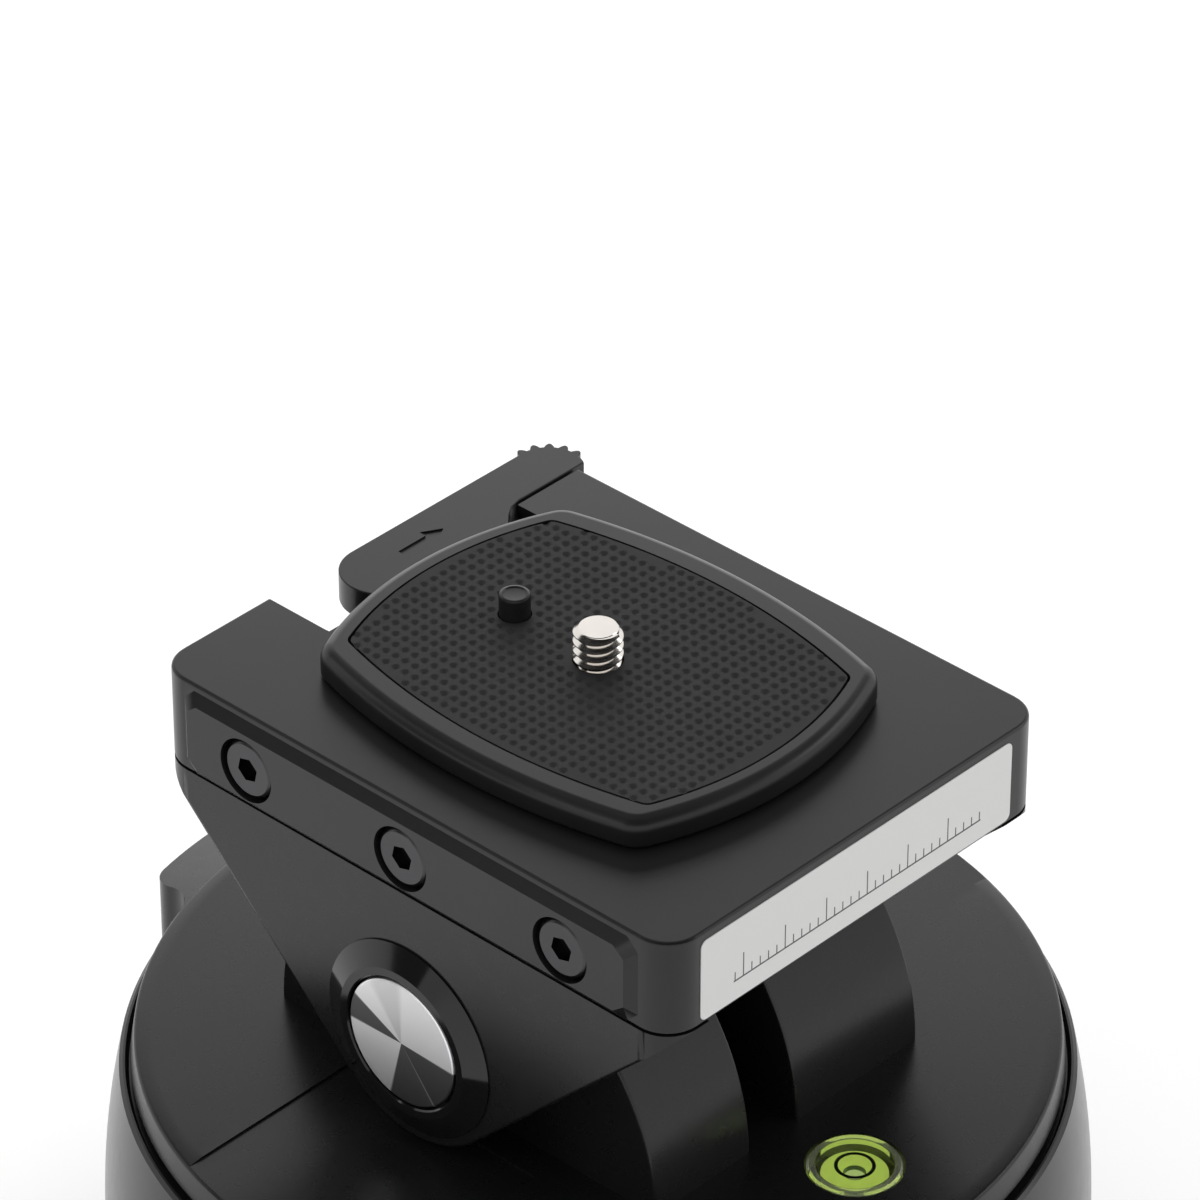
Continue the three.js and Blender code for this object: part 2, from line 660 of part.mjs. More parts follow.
// Barrel: a bulging shell with a floor, open at the rear for the cover's block
const ledgeZ = DISC_TOP - LEDGE_DROP;
const bellyZ = (ledgeZ + BARREL_BOTTOM) / 2;
const bellyHalf = (ledgeZ - BARREL_BOTTOM) / 2;
const bellyRise = BELLY_RADIUS - LEDGE_RADIUS;
const bellyArc = (bellyHalf ** 2 + bellyRise ** 2) / (2 * bellyRise);
const bellyPoints = Array.from({ length: BELLY_STEPS + 1 }, (_, i) => {
  const z = BARREL_BOTTOM + BARREL_EDGE + (ledgeZ - BARREL_BOTTOM - BARREL_EDGE) * i / BELLY_STEPS;
  return [BELLY_RADIUS - bellyArc + Math.sqrt(bellyArc ** 2 - (z - bellyZ) ** 2), z];
});
const coverInner = COVER_RADIUS - COVER_WALL;
const coverCeiling = DISC_TOP - COVER_WALL;
const lipOuter = coverInner - SEAT_GAP;
const barrelInner = LEDGE_RADIUS - BARREL_WALL;
const blockReach = COVER_RADIUS * Math.cos(blockCorner(0).filletAngle);
const blockBay = (margin, low, high) => prism(coverOutline(margin), low, high).intersect(
  block([-blockReach - margin, 0, low], [blockReach + margin, BLOCK_RADIUS + CUT_OVER, high]));
const shelfDrop = BARREL_WALL + barrelInner - (lipOuter - LIP_WALL);
add('barrel_shell', turned([
  [0, BARREL_BOTTOM],
  [LEDGE_RADIUS - BARREL_EDGE, BARREL_BOTTOM],
  ...bellyPoints,
  [lipOuter, ledgeZ],
  [lipOuter, ledgeZ + LIP_HEIGHT],
  [lipOuter - LIP_WALL, ledgeZ + LIP_HEIGHT],
  [lipOuter - LIP_WALL, ledgeZ - BARREL_WALL],
  [barrelInner, ledgeZ - shelfDrop],
  [barrelInner, barrelFloorTop],
  [0, barrelFloorTop],
]).subtract(blockBay(SEAT_GAP, barrelFloorTop, DISC_TOP))
  .subtract(blockBay(SEAT_GAP, BARREL_BOTTOM - CUT_OVER, barrelFloorTop + CUT_OVER)
    .subtract(rod(barrelInner, 0, DISC_TOP, 0, 0, FINE)))
  .subtract(hubWay), blackShell());

// Cover: a shallow cap with two half drums, a gear slot between them and a deep rear block
const cap = turned([
  [0, DISC_TOP - SKIRT_DROP],
  [COVER_RADIUS + SKIRT_FLARE, DISC_TOP - SKIRT_DROP],
  ...arcPoints([0, 0], 1, 0, Math.PI / 2).map(([across, up]) => [
    COVER_RADIUS - ROLL_WIDTH * (1 - across),
    DISC_TOP - ROLL_DROP * (1 - up),
  ]),
  [0, DISC_TOP],
]);
const blockSlope = turned([
  [0, 0],
  [BLOCK_RADIUS + CUT_OVER, 0],
  [BLOCK_RADIUS + CUT_OVER, DISC_TOP - BLOCK_DROP],
  [BLOCK_RADIUS, DISC_TOP - BLOCK_DROP],
  [COVER_RADIUS - ROLL_WIDTH, DISC_TOP],
  [0, DISC_TOP],
]);
const rearBlock = blockBay(0, BARREL_BOTTOM, DISC_TOP).intersect(blockSlope)
  .subtract(rod(barrelInner + SEAT_GAP, 0, barrelFloorTop + SEAT_GAP, 0, 0, FINE));
const blockHollow = blockBay(-BLOCK_WALL, BARREL_BOTTOM + BLOCK_WALL, coverCeiling - BLOCK_DROP / 2);
const halfDrum = (left, right, radius, edge, low) => turnedAlongX([
  [0, left],
  [radius - edge, left],
  [radius, left + edge],
  [radius, right - edge],
  [radius - edge, right],
  [0, right],
], 0, DISC_TOP, FINE).intersect(
  block([left, -radius, low], [right, radius, DISC_TOP + radius]));
const drumPair = [[-DRUM_HALF_LENGTH, SLOT_LEFT], [SLOT_RIGHT, DRUM_HALF_LENGTH]];
let cover = cap.add(rearBlock);
drumPair.forEach(([left, right]) => {
  cover = cover.add(halfDrum(left, right, DRUM_RADIUS, DRUM_EDGE, coverCeiling));
});
cover = cover.subtract(rod(coverInner, 0, coverCeiling, 0, 0, FINE)).subtract(blockHollow);
drumPair.forEach(([left, right]) => {
  cover = cover.subtract(halfDrum(
    left + DRUM_WALL, right - DRUM_WALL, DRUM_RADIUS - DRUM_WALL, DRUM_EDGE, coverCeiling - CUT_OVER));
});
const gearLeft = (SLOT_LEFT + SLOT_RIGHT - TILT_GEAR_THICK) / 2;
const gearRight = gearLeft + TILT_GEAR_THICK;
const gearOpening = block(
  [gearLeft - RUN_GAP, -SLOT_OPENING_HALF, coverCeiling - CUT_OVER],
  [gearRight + RUN_GAP, SLOT_OPENING_HALF, DISC_TOP + CUT_OVER]);
const axleWay = rodAlongX(
  AXLE_RADIUS + RUN_GAP, -DRUM_HALF_LENGTH, DRUM_HALF_LENGTH, 0, AXLE_Z);
const bushOuter = AXLE_RADIUS + SEAT_GAP + AXLE_BUSH_WALL;
const bushWay = rodAlongX(
  bushOuter + SEAT_GAP, DRUM_HALF_LENGTH - DRUM_WALL - CUT_OVER, DRUM_HALF_LENGTH + CUT_OVER,
  0, AXLE_Z, ROUND);
const pocket = block(
  [POCKET_INNER_X, -POCKET_HALF_WIDTH, DISC_TOP - POCKET_DEPTH],
  [COVER_RADIUS + CUT_OVER, POCKET_HALF_WIDTH, DISC_TOP + CUT_OVER]);
const levelWay = rod(
  LEVEL_RADIUS + SEAT_GAP, coverCeiling - CUT_OVER, DISC_TOP + CUT_OVER, 0, LEVEL_Y, INNER);
const wallOut = BLOCK_RADIUS + CUT_OVER;
const wallIn = BLOCK_RADIUS - BLOCK_WALL - CUT_OVER;
const switchWay = block(
  [SWITCH_X - SWITCH_SLOT_HALF_X, wallIn, PORT_Z - SWITCH_SLOT_HALF_Z],
  [SWITCH_X + SWITCH_SLOT_HALF_X, wallOut, PORT_Z + SWITCH_SLOT_HALF_Z]);
const lightWay = rodAlongY(LIGHT_RADIUS + SEAT_GAP, wallIn, wallOut, LIGHT_X, PORT_Z);
const socketOutline = (grow) => roundedRectangle(
  -SOCKET_HALF_X - grow, SOCKET_Z - SOCKET_HALF_Z - grow,
  SOCKET_HALF_X + grow, SOCKET_Z + SOCKET_HALF_Z + grow, SOCKET_CORNER + grow);
const socketWay = prismAlongY(socketOutline(SOCKET_WALL + SEAT_GAP), wallIn, wallOut);
add('turntable_cover', [
  gearOpening, axleWay, bushWay, mirrorX(bushWay), pocket, mirrorX(pocket), levelWay,
  switchWay, lightWay, socketWay,
].reduce((solid, cut) => solid.subtract(cut), cover), blackShell());

// Bubble level, let into the cover's front
const levelTop = DISC_TOP + LEVEL_PROUD;
const levelInner = LEVEL_RADIUS - LEVEL_WALL;
const levelFloorTop = levelTop - LEVEL_DEPTH + LEVEL_FLOOR;
add('level_cup', turned([
  [0, levelTop - LEVEL_DEPTH],
  [LEVEL_RADIUS, levelTop - LEVEL_DEPTH],
  [LEVEL_RADIUS, levelTop],
  [levelInner, levelTop],
  [levelInner, levelFloorTop],
  [0, levelFloorTop],
], INNER, 0, LEVEL_Y), blackSatin());
const windowLow = levelTop - LEVEL_WINDOW_THICK;
const fluidRadius = levelInner - SEAT_GAP;
const fluidTop = windowLow - SEAT_GAP;
add('level_fluid', rod(
  fluidRadius, levelFloorTop + SEAT_GAP, fluidTop, 0, LEVEL_Y, INNER), greenFluid());
add('level_window', rod(fluidRadius, windowLow, levelTop, 0, LEVEL_Y, INNER), clearAcrylic());

// Pan drive: a geared motor on a bridge over its pinion, which rolls round the fixed gear
const panReach = (PAN_TEETH + PINION_TEETH) * GEAR_MODULE / 2;
const bridgeLow = panGearHigh + RUN_GAP;
const bridgeHigh = bridgeLow + SHEET;
const motorProfile = (start, length) => [
  [0, start],
  [MOTOR_RADIUS, start],
  [MOTOR_RADIUS, start + GEARBOX_LENGTH],
  [MOTOR_RADIUS - MOTOR_STEP, start + GEARBOX_LENGTH],
  [MOTOR_RADIUS - MOTOR_STEP, start + length - MOTOR_STEP],
  [MOTOR_RADIUS - 2 * MOTOR_STEP, start + length],
  [MOTOR_STUB_RADIUS, start + length],
  [MOTOR_STUB_RADIUS, start + length + MOTOR_STEP],
  [0, start + length + MOTOR_STEP],
];
const panMotorLow = bridgeHigh + SEAT_GAP;
const panShaftTop = panMotorLow + SHAFT_LENGTH;
add('pan_motor', turned(motorProfile(panMotorLow, PAN_MOTOR_LENGTH), INNER, 0, -panReach)
  .subtract(rod(
    SHAFT_RADIUS + SEAT_GAP, panMotorLow - CUT_OVER, panShaftTop + SEAT_GAP, 0, -panReach)), steel());
const panBridge = block(
  [-PAN_BRACKET_HALF_X, PAN_BRACKET_FRONT, bridgeLow],
  [PAN_BRACKET_HALF_X, PAN_BRACKET_REAR, bridgeHigh]);
const panLeg = block(
  [PAN_BRACKET_HALF_X - SHEET, PAN_BRACKET_FRONT, barrelFloorTop + SEAT_GAP],
  [PAN_BRACKET_HALF_X, PAN_BRACKET_LEG_REAR, bridgeHigh]);
const panShaftWay = rod(
  SHAFT_RADIUS + RUN_GAP, bridgeLow - CUT_OVER, bridgeHigh + CUT_OVER, 0, -panReach);
add('pan_motor_bracket',
  panBridge.add(panLeg).add(mirrorX(panLeg)).subtract(panShaftWay), steel());
const pinionMiddle = Math.PI / 2 + Math.PI / PINION_TEETH;
const pinionPoints = toothPoints(PINION_TEETH, PINION_TEETH, pinionMiddle);
add('pan_pinion', prism(outline(shifted(pinionPoints, 0, -panReach)), panGearLow, panGearHigh)
  .add(rod(SHAFT_RADIUS, panGearLow + SEAT_GAP, panShaftTop, 0, -panReach)), brass());

// Tilt drive: a motor hung under the cover, whose pinion turns the platform's toothed sector
const tiltReach = (TILT_TEETH + PINION_TEETH) * GEAR_MODULE / 2;
const tiltMotorZ = AXLE_Z - tiltReach;
const tiltBracketLeft = gearRight + RUN_GAP;
const tiltBracketRight = tiltBracketLeft + SHEET;
const tiltMotorLeft = tiltBracketRight + SEAT_GAP;
const tiltShaftRight = tiltMotorLeft + SHAFT_LENGTH;
const bracketTop = coverCeiling - SEAT_GAP;
const tiltShaftSeat = rodAlongX(
  SHAFT_RADIUS + SEAT_GAP, tiltMotorLeft - CUT_OVER, tiltShaftRight + SEAT_GAP, 0, tiltMotorZ);
const tiltMotor = turnedAlongX(
  motorProfile(tiltMotorLeft, TILT_MOTOR_LENGTH), 0, tiltMotorZ, INNER);
add('tilt_motor', tiltMotor.subtract(tiltShaftSeat), steel());
const bracketArmLow = bracketTop - TILT_BRACKET_ARM_HEIGHT;
const bracketFlange = block(
  [tiltBracketLeft, DRUM_RADIUS + SEAT_GAP, bracketTop - SHEET],
  [tiltBracketLeft + TILT_BRACKET_FLANGE, TILT_BRACKET_TOP_HALF_Y, bracketTop]);
const bracketFlangeFront = block(
  [tiltBracketLeft, -TILT_BRACKET_TOP_HALF_Y, bracketTop - SHEET],
  [tiltBracketLeft + TILT_BRACKET_FLANGE, -DRUM_RADIUS - SEAT_GAP, bracketTop]);
const tiltShaftWay = rodAlongX(
  SHAFT_RADIUS + RUN_GAP, tiltBracketLeft - CUT_OVER, tiltBracketRight + CUT_OVER, 0, tiltMotorZ);
add('tilt_motor_bracket', prismAlongX(outline([
  [-TILT_BRACKET_HALF_Y, tiltMotorZ - MOTOR_RADIUS],
  [TILT_BRACKET_HALF_Y, tiltMotorZ - MOTOR_RADIUS],
  [TILT_BRACKET_HALF_Y, bracketArmLow],
  [TILT_BRACKET_TOP_HALF_Y, bracketArmLow],
  [TILT_BRACKET_TOP_HALF_Y, bracketTop],
  [-TILT_BRACKET_TOP_HALF_Y, bracketTop],
  [-TILT_BRACKET_TOP_HALF_Y, bracketArmLow],
  [-TILT_BRACKET_HALF_Y, bracketArmLow],
]), tiltBracketLeft, tiltBracketRight).add(bracketFlange).add(bracketFlangeFront)
  .subtract(tiltShaftWay), steel());
add('tilt_pinion', prismAlongX(outline(shifted(pinionPoints, 0, tiltMotorZ)), gearLeft, gearRight)
  .add(rodAlongX(SHAFT_RADIUS, gearLeft + SEAT_GAP, tiltShaftRight, 0, tiltMotorZ)), brass());
const tiltHub = rodAlongX(SECTOR_HUB_RADIUS, gearLeft, gearRight, 0, AXLE_Z, ROUND);
const sectorHoles = [-1, 0, 1].map((side) => rodAlongX(
  SECTOR_HOLE_RADIUS, gearLeft - CUT_OVER, gearRight + CUT_OVER,
  SECTOR_HOLE_REACH * Math.sin(side * SECTOR_HOLE_ANGLE),
  AXLE_Z - SECTOR_HOLE_REACH * Math.cos(side * SECTOR_HOLE_ANGLE)));
const sectorBlank = prismAlongX(
  outline(shifted([...toothPoints(TILT_TEETH, SECTOR_TEETH, -Math.PI / 2), [0, 0]], 0, AXLE_Z)),
  gearLeft, gearRight).add(tiltHub);
const axleBore = rodAlongX(
  AXLE_RADIUS + SEAT_GAP, gearLeft - CUT_OVER, gearRight + CUT_OVER, 0, AXLE_Z);
add('tilt_sector_gear', [axleBore, ...sectorHoles].reduce(
  (solid, cut) => solid.subtract(cut), sectorBlank), whiteNylon());

// Tilt axle in its two bushes
add('tilt_axle', turnedAlongX([
  [0, -AXLE_HALF_LENGTH],
  [AXLE_RADIUS - AXLE_CHAMFER, -AXLE_HALF_LENGTH],
  [AXLE_RADIUS, AXLE_CHAMFER - AXLE_HALF_LENGTH],
  [AXLE_RADIUS, AXLE_HALF_LENGTH - AXLE_CHAMFER],
  [AXLE_RADIUS - AXLE_CHAMFER, AXLE_HALF_LENGTH],
  [0, AXLE_HALF_LENGTH],
], 0, AXLE_Z, SMALL), steel());
const bushInner = AXLE_RADIUS + SEAT_GAP;
const bushFlangeRight = DRUM_HALF_LENGTH - DRUM_WALL - SEAT_GAP;
const bushFlangeLeft = bushFlangeRight - AXLE_BUSH_FLANGE_THICK;
const axleBush = turnedAlongX([
  [bushInner, bushFlangeLeft],
  [bushOuter + AXLE_BUSH_FLANGE, bushFlangeLeft],
  [bushOuter + AXLE_BUSH_FLANGE, bushFlangeRight],
  [bushOuter, bushFlangeRight],
  [bushOuter, DRUM_HALF_LENGTH],
  [bushInner, DRUM_HALF_LENGTH],
  [bushInner, bushFlangeLeft],
], 0, AXLE_Z, INNER);
add('axle_bush_right', axleBush, brass());
add('axle_bush_left', mirrorX(axleBush), brass());

// Battery and circuit board, which stand on the barrel's floor
const cellLow = barrelFloorTop + SEAT_GAP;
const cellCentres = [cellLow + CELL_RADIUS, cellLow + 3 * CELL_RADIUS];
const cellHalf = CELL_LENGTH / 2;
const batteryX = CELL_RADIUS - Math.sqrt((barrelInner - BATTERY_CLEAR) ** 2 - cellHalf ** 2);
const cells = cellCentres.map((z) => rodAlongY(
  CELL_RADIUS, -cellHalf, cellHalf, batteryX, z, INNER));
const cellWeb = block(
  [batteryX - CELL_RADIUS / 2, -cellHalf, cellCentres[0]],
  [batteryX + CELL_RADIUS / 2, cellHalf, cellCentres[1]]);
add('battery_pack', cells[0].add(cells[1]).add(cellWeb), cellWrap());
const boardFront = COVER_RADIUS - BOARD_INSET;
const boardRear = boardFront + SHEET;
add('main_board', block(
  [-BOARD_HALF_WIDTH, boardFront, cellLow],
  [BOARD_HALF_WIDTH, boardRear, cellLow + BOARD_HEIGHT]), boardGreen());

// Ports of the rear block
const partsFront = boardRear + SEAT_GAP;
const switchReach = Math.abs(SWITCH_X) + SWITCH_BODY_HALF_X;
const wallInside = Math.sqrt((BLOCK_RADIUS - BLOCK_WALL) ** 2 - switchReach ** 2);
const switchRear = wallInside - SEAT_GAP;
const knobRoot = switchRear - SWITCH_KNOB_ROOT;
const switchRoom = block(
  [SWITCH_X - SWITCH_SLOT_HALF_X, knobRoot - SEAT_GAP, PORT_Z - SWITCH_SLOT_HALF_Z],
  [SWITCH_X + SWITCH_SLOT_HALF_X, wallOut, PORT_Z + SWITCH_SLOT_HALF_Z]);
const switchCase = block(
  [SWITCH_X - SWITCH_BODY_HALF_X, partsFront, PORT_Z - SWITCH_BODY_HALF_Z],
  [SWITCH_X + SWITCH_BODY_HALF_X, switchRear, PORT_Z + SWITCH_BODY_HALF_Z]);
add('switch_body', switchCase.subtract(switchRoom), steel());
const knobX = SWITCH_X - SWITCH_TRAVEL / 2;
const knob = block(
  [knobX - SWITCH_KNOB_HALF_X, knobRoot, PORT_Z - SWITCH_KNOB_HALF_Z],
  [knobX + SWITCH_KNOB_HALF_X, BLOCK_RADIUS + SWITCH_KNOB_PROUD, PORT_Z + SWITCH_KNOB_HALF_Z]);
add('power_switch', knob, blackSatin());
const socketRear = BLOCK_RADIUS - SEAT_GAP;
add('charge_socket', prismAlongY(socketOutline(SOCKET_WALL), partsFront, socketRear)
  .subtract(prismAlongY(socketOutline(0), socketRear - SOCKET_DEPTH, wallOut)), steel());
const lightRear = Math.sqrt(BLOCK_RADIUS ** 2 - (LIGHT_X + LIGHT_RADIUS) ** 2);
add('status_light', rodAlongY(LIGHT_RADIUS, partsFront, lightRear, LIGHT_X, PORT_Z), clearAcrylic());

// Platform housing: a shell open below, with side panels, plate socket and lever notch
const housingLow = PLATFORM_Z + PARTING_GAP;
const housingOutline = roundedRectangle(
  -HOUSING_HALF_X, -HOUSING_HALF_Y, HOUSING_HALF_X, HOUSING_HALF_Y, HOUSING_CORNER);
const panelFace = HOUSING_HALF_X + PANEL_PROUD;
const panelTop = PLATFORM_TOP - PANEL_TOP_DROP;
const panelOutline = outline([
  [PANEL_CORNER_CUT - PANEL_HALF_Y, housingLow],
  [PANEL_HALF_Y - PANEL_CORNER_CUT, housingLow],
  [PANEL_HALF_Y, housingLow + PANEL_CORNER_CUT],
  [PANEL_HALF_Y, panelTop - PANEL_CORNER_CUT],
  [PANEL_HALF_Y - PANEL_CORNER_CUT, panelTop],
  [PANEL_CORNER_CUT - PANEL_HALF_Y, panelTop],
  [-PANEL_HALF_Y, panelTop - PANEL_CORNER_CUT],
  [-PANEL_HALF_Y, housingLow + PANEL_CORNER_CUT],
]);
const panelRoot = HOUSING_HALF_X - HOUSING_WALL;
const sidePanel = toSolid(bevelled(panelOutline, panelFace - panelRoot, PANEL_PROUD, PANEL_INSET, 1)
  .rotateY(Math.PI / 2).rotateX(Math.PI / 2).translate(panelRoot, 0, 0));
const cavityHalfX = HOUSING_HALF_X - HOUSING_WALL;
const cavityFront = HOUSING_WALL - HOUSING_HALF_Y;
const cavity = block(
  [-cavityHalfX, cavityFront, PLATFORM_Z - CUT_OVER],
  [cavityHalfX, CAVITY_REAR, PLATFORM_Z + CAVITY_HEIGHT]);
const channel = block(
  [CHANNEL_INNER_X, cavityFront, PLATFORM_Z - CUT_OVER],
  [cavityHalfX, CAVITY_REAR, PLATFORM_Z + CHANNEL_HEIGHT]);
const leverLow = PLATFORM_TOP - LEVER_THICK;
const notchFloor = PLATFORM_Z + NOTCH_FLOOR_UP;
const leverRear = PIVOT_Y + PIVOT_END_RADIUS;
const noseY = PIVOT_Y - CAM_REACH;
const plateFootRear = noseY - SEAT_GAP;
const socketHalfX = PLATE_FOOT_HALF_X + SEAT_GAP;
const plateSocket = prism(roundedRectangle(
  -socketHalfX, PLATE_FOOT_FRONT - SEAT_GAP, socketHalfX, noseY, PLATE_FOOT_CORNER + SEAT_GAP,
), PLATFORM_TOP - PLATE_SOCKET_DEPTH, PLATFORM_TOP + CUT_OVER);
const notch = prism(roundedRectangle(
  NOTCH_LEFT, NOTCH_FRONT, HOUSING_HALF_X + PANEL_PROUD + NOTCH_CORNER + CUT_OVER,
  HOUSING_HALF_Y + NOTCH_CORNER + CUT_OVER, NOTCH_CORNER,
), notchFloor, PLATFORM_TOP + CUT_OVER);
const camCut = block(
  [CAM_CUT_LEFT, noseY - SEAT_GAP, leverLow - SEAT_GAP],
  [CAM_CUT_RIGHT, leverRear, PLATFORM_TOP + CUT_OVER]);
const springInner = PIN_POST_RADIUS + SEAT_GAP + LEVER_SPRING_WIRE / 2;
const springWay = rod(
  springInner + LEVER_SPRING_WIRE / 2 + SEAT_GAP, notchFloor, PLATFORM_TOP, PIVOT_X, PIVOT_Y, ROUND);
const pinPost = rod(PIN_POST_RADIUS, notchFloor - SEAT_GAP, leverLow - SEAT_GAP, PIVOT_X, PIVOT_Y);
const leverPinLow = leverLow - SEAT_GAP - LEVER_PIN_IN_POST;
const leverPinTop = leverLow + LEVER_PIN_IN_LEVER;
const leverPinWay = rod(
  LEVER_PIN_RADIUS + SEAT_GAP, leverPinLow - SEAT_GAP, leverPinTop + SEAT_GAP, PIVOT_X, PIVOT_Y);
const screwZ = PLATFORM_Z + SCREW_UP;
const screwPlaces = [-SCREW_PITCH, 0, SCREW_PITCH];
const screwFace = panelFace - SCREW_BELOW_FACE;
const screwSeat = screwFace - SCREW_HEAD_HEIGHT;
const screwTip = screwSeat - SCREW_SHANK_LENGTH;
const screwWays = screwPlaces.map((y) => rodAlongX(
  SCREW_SHANK_RADIUS + SEAT_GAP, screwTip - SEAT_GAP, panelFace, y, screwZ).add(
  rodAlongX(SCREW_BORE_RADIUS, screwSeat - SEAT_GAP, panelFace + CUT_OVER, y, screwZ, ROUND)));
const shell = crownedPrism(housingOutline, housingLow, PLATFORM_TOP, HOUSING_BEVEL, HOUSING_BEVEL, 1)
  .add(sidePanel).add(mirrorX(sidePanel));
const hollowed = [cavity, channel, mirrorX(channel), plateSocket, notch, camCut, springWay]
  .reduce((solid, cut) => solid.subtract(cut), shell);
add('platform_housing', [leverPinWay, ...screwWays, ...screwWays.map(mirrorX)].reduce(
  (solid, cut) => solid.subtract(cut), hollowed.add(pinPost)), blackShell());
const floorHalfX = HOUSING_HALF_X - ARM_THICK - SEAT_GAP;
add('platform_floor', block(
  [-floorHalfX, cavityFront + SEAT_GAP, housingLow],
  [floorHalfX, CAVITY_REAR - SEAT_GAP, housingLow + FLOOR_THICK]), blackShell());

// Tilt arms: flush with the housing's sides, drawn in by tangents to the axle's hub
const armReach = Math.hypot(HOUSING_HALF_Y, PLATFORM_Z - AXLE_Z);
const armAngle = Math.atan2(PLATFORM_Z - AXLE_Z, HOUSING_HALF_Y) - Math.acos(ARM_HUB_RADIUS / armReach);
const armOutline = outline([
  [HOUSING_HALF_Y, PLATFORM_Z],
  [-HOUSING_HALF_Y, PLATFORM_Z],
  ...arcPoints([0, AXLE_Z], ARM_HUB_RADIUS, -Math.PI - armAngle, armAngle, 2 * ARC_STEPS),
]);
const armInner = HOUSING_HALF_X - ARM_THICK;
const tongueOuter = cavityHalfX - SEAT_GAP;
const tongue = block(
  [tongueOuter - TONGUE_THICK, TONGUE_FRONT, PLATFORM_Z - CUT_OVER],
  [tongueOuter, CAVITY_REAR - SEAT_GAP, PLATFORM_Z + TONGUE_HEIGHT]);
const armInnerHub = rodAlongX(
  INNER_HUB_RADIUS, DRUM_HALF_LENGTH + RUN_GAP, armInner + CUT_OVER, 0, AXLE_Z, ROUND);
const armSolid = prismAlongX(armOutline, armInner, HOUSING_HALF_X)
  .intersect(prism(housingOutline, AXLE_Z - ARM_HUB_RADIUS - CUT_OVER, PLATFORM_Z))
  .add(tongue).add(armInnerHub);
const ringSeatX = HOUSING_HALF_X - HUB_SEAT_DEPTH;
const armCuts = [
  rodAlongX(AXLE_RADIUS + SEAT_GAP, 0, AXLE_HALF_LENGTH + SEAT_GAP, 0, AXLE_Z),
  rodAlongX(HUB_RING_SPIGOT + SEAT_GAP, ringSeatX, HOUSING_HALF_X + CUT_OVER, 0, AXLE_Z, ROUND),
  ...screwWays,
];
const arm = armCuts.reduce((solid, cut) => solid.subtract(cut), armSolid);
add('tilt_arm_right', arm, blackShell());
add('tilt_arm_left', mirrorX(arm), blackShell());
const ringRoot = ringSeatX + SEAT_GAP;
const ringFace = HOUSING_HALF_X + HUB_RING_HEIGHT;
const hubRing = turnedAlongX([
  [HUB_RING_INNER, ringRoot],
  [HUB_RING_SPIGOT, ringRoot],
  [HUB_RING_SPIGOT, HOUSING_HALF_X + SEAT_GAP],
  [HUB_RING_OUTER, HOUSING_HALF_X + SEAT_GAP],
  [HUB_RING_TOP, ringFace],
  [HUB_RING_INNER, ringFace],
  [HUB_RING_INNER, ringRoot],
], 0, AXLE_Z, ROUND);
add('hub_ring_right', hubRing, glossBlack());
add('hub_ring_left', mirrorX(hubRing), glossBlack());
const axleCap = turnedAlongX([
  [0, ringRoot],
  [AXLE_CAP_RADIUS, ringRoot],
  [AXLE_CAP_RADIUS, ringRoot + AXLE_CAP_THICK - AXLE_CAP_EDGE],
  [AXLE_CAP_RADIUS - AXLE_CAP_EDGE, ringRoot + AXLE_CAP_THICK],
  [0, ringRoot + AXLE_CAP_THICK],
], 0, AXLE_Z, ROUND);
add('axle_cap_right', axleCap, spunAluminium());
add('axle_cap_left', mirrorX(axleCap), spunAluminium());
screwPlaces.forEach((y, i) => {
  const hexKey = rodAlongX(
    HEX_RADIUS, screwFace - HEX_DEPTH, screwFace + CUT_OVER, y, screwZ, HEX_SIDES);
  const screw = turnedAlongX([
    [0, screwTip],
    [SCREW_SHANK_RADIUS, screwTip],
    [SCREW_SHANK_RADIUS, screwSeat],
    [SCREW_HEAD_RADIUS, screwSeat],
    [SCREW_HEAD_RADIUS, screwFace],
    [0, screwFace],
  ], y, screwZ, SMALL).subtract(hexKey);
  add(`side_screw_right_${i + 1}`, screw, darkSteel());
  add(`side_screw_left_${i + 1}`, mirrorX(screw), darkSteel());
});

// Release lever: a cam against the plate's foot, a long handle and a ribbed thumb end
const tipCentre = [LEVER_TIP_X, leverRear - LEVER_TIP_RADIUS];
const tipStart = Math.asin((LEVER_INNER_EDGE - tipCentre[1]) / LEVER_TIP_RADIUS);
const noseFromPivot = [CAM_NOSE_LEFT - PIVOT_X, -CAM_REACH];
const pivotEnd = Math.atan2(noseFromPivot[1], noseFromPivot[0])
  - Math.acos(PIVOT_END_RADIUS / Math.hypot(...noseFromPivot));
const leverOutline = outline([
  [CAM_NOSE_LEFT, noseY],
  [CAM_NOSE_RIGHT, noseY],
  [CAM_END_X, LEVER_INNER_EDGE],
  ...arcPoints(tipCentre, LEVER_TIP_RADIUS, tipStart, Math.PI / 2),
  ...arcPoints(
    [PIVOT_X, PIVOT_Y], PIVOT_END_RADIUS, Math.PI / 2, 2 * Math.PI + pivotEnd, 2 * ARC_STEPS),
]);
let lever = prism(leverOutline, leverLow, PLATFORM_TOP);
for (let i = 0; i < GRIP_BUMPS; i += 1) {
  const angle = GRIP_FIRST_ANGLE + GRIP_STEP_ANGLE * i;
  const bumpX = tipCentre[0] + LEVER_TIP_RADIUS * Math.cos(angle);
  const bumpY = tipCentre[1] + LEVER_TIP_RADIUS * Math.sin(angle);
  lever = lever.add(rod(GRIP_BUMP_RADIUS, leverLow, PLATFORM_TOP, bumpX, bumpY));
}
add('release_lever', lever.subtract(leverPinWay), blackSatin());
add('lever_pin', rod(LEVER_PIN_RADIUS, leverPinLow, leverPinTop, PIVOT_X, PIVOT_Y), steel());
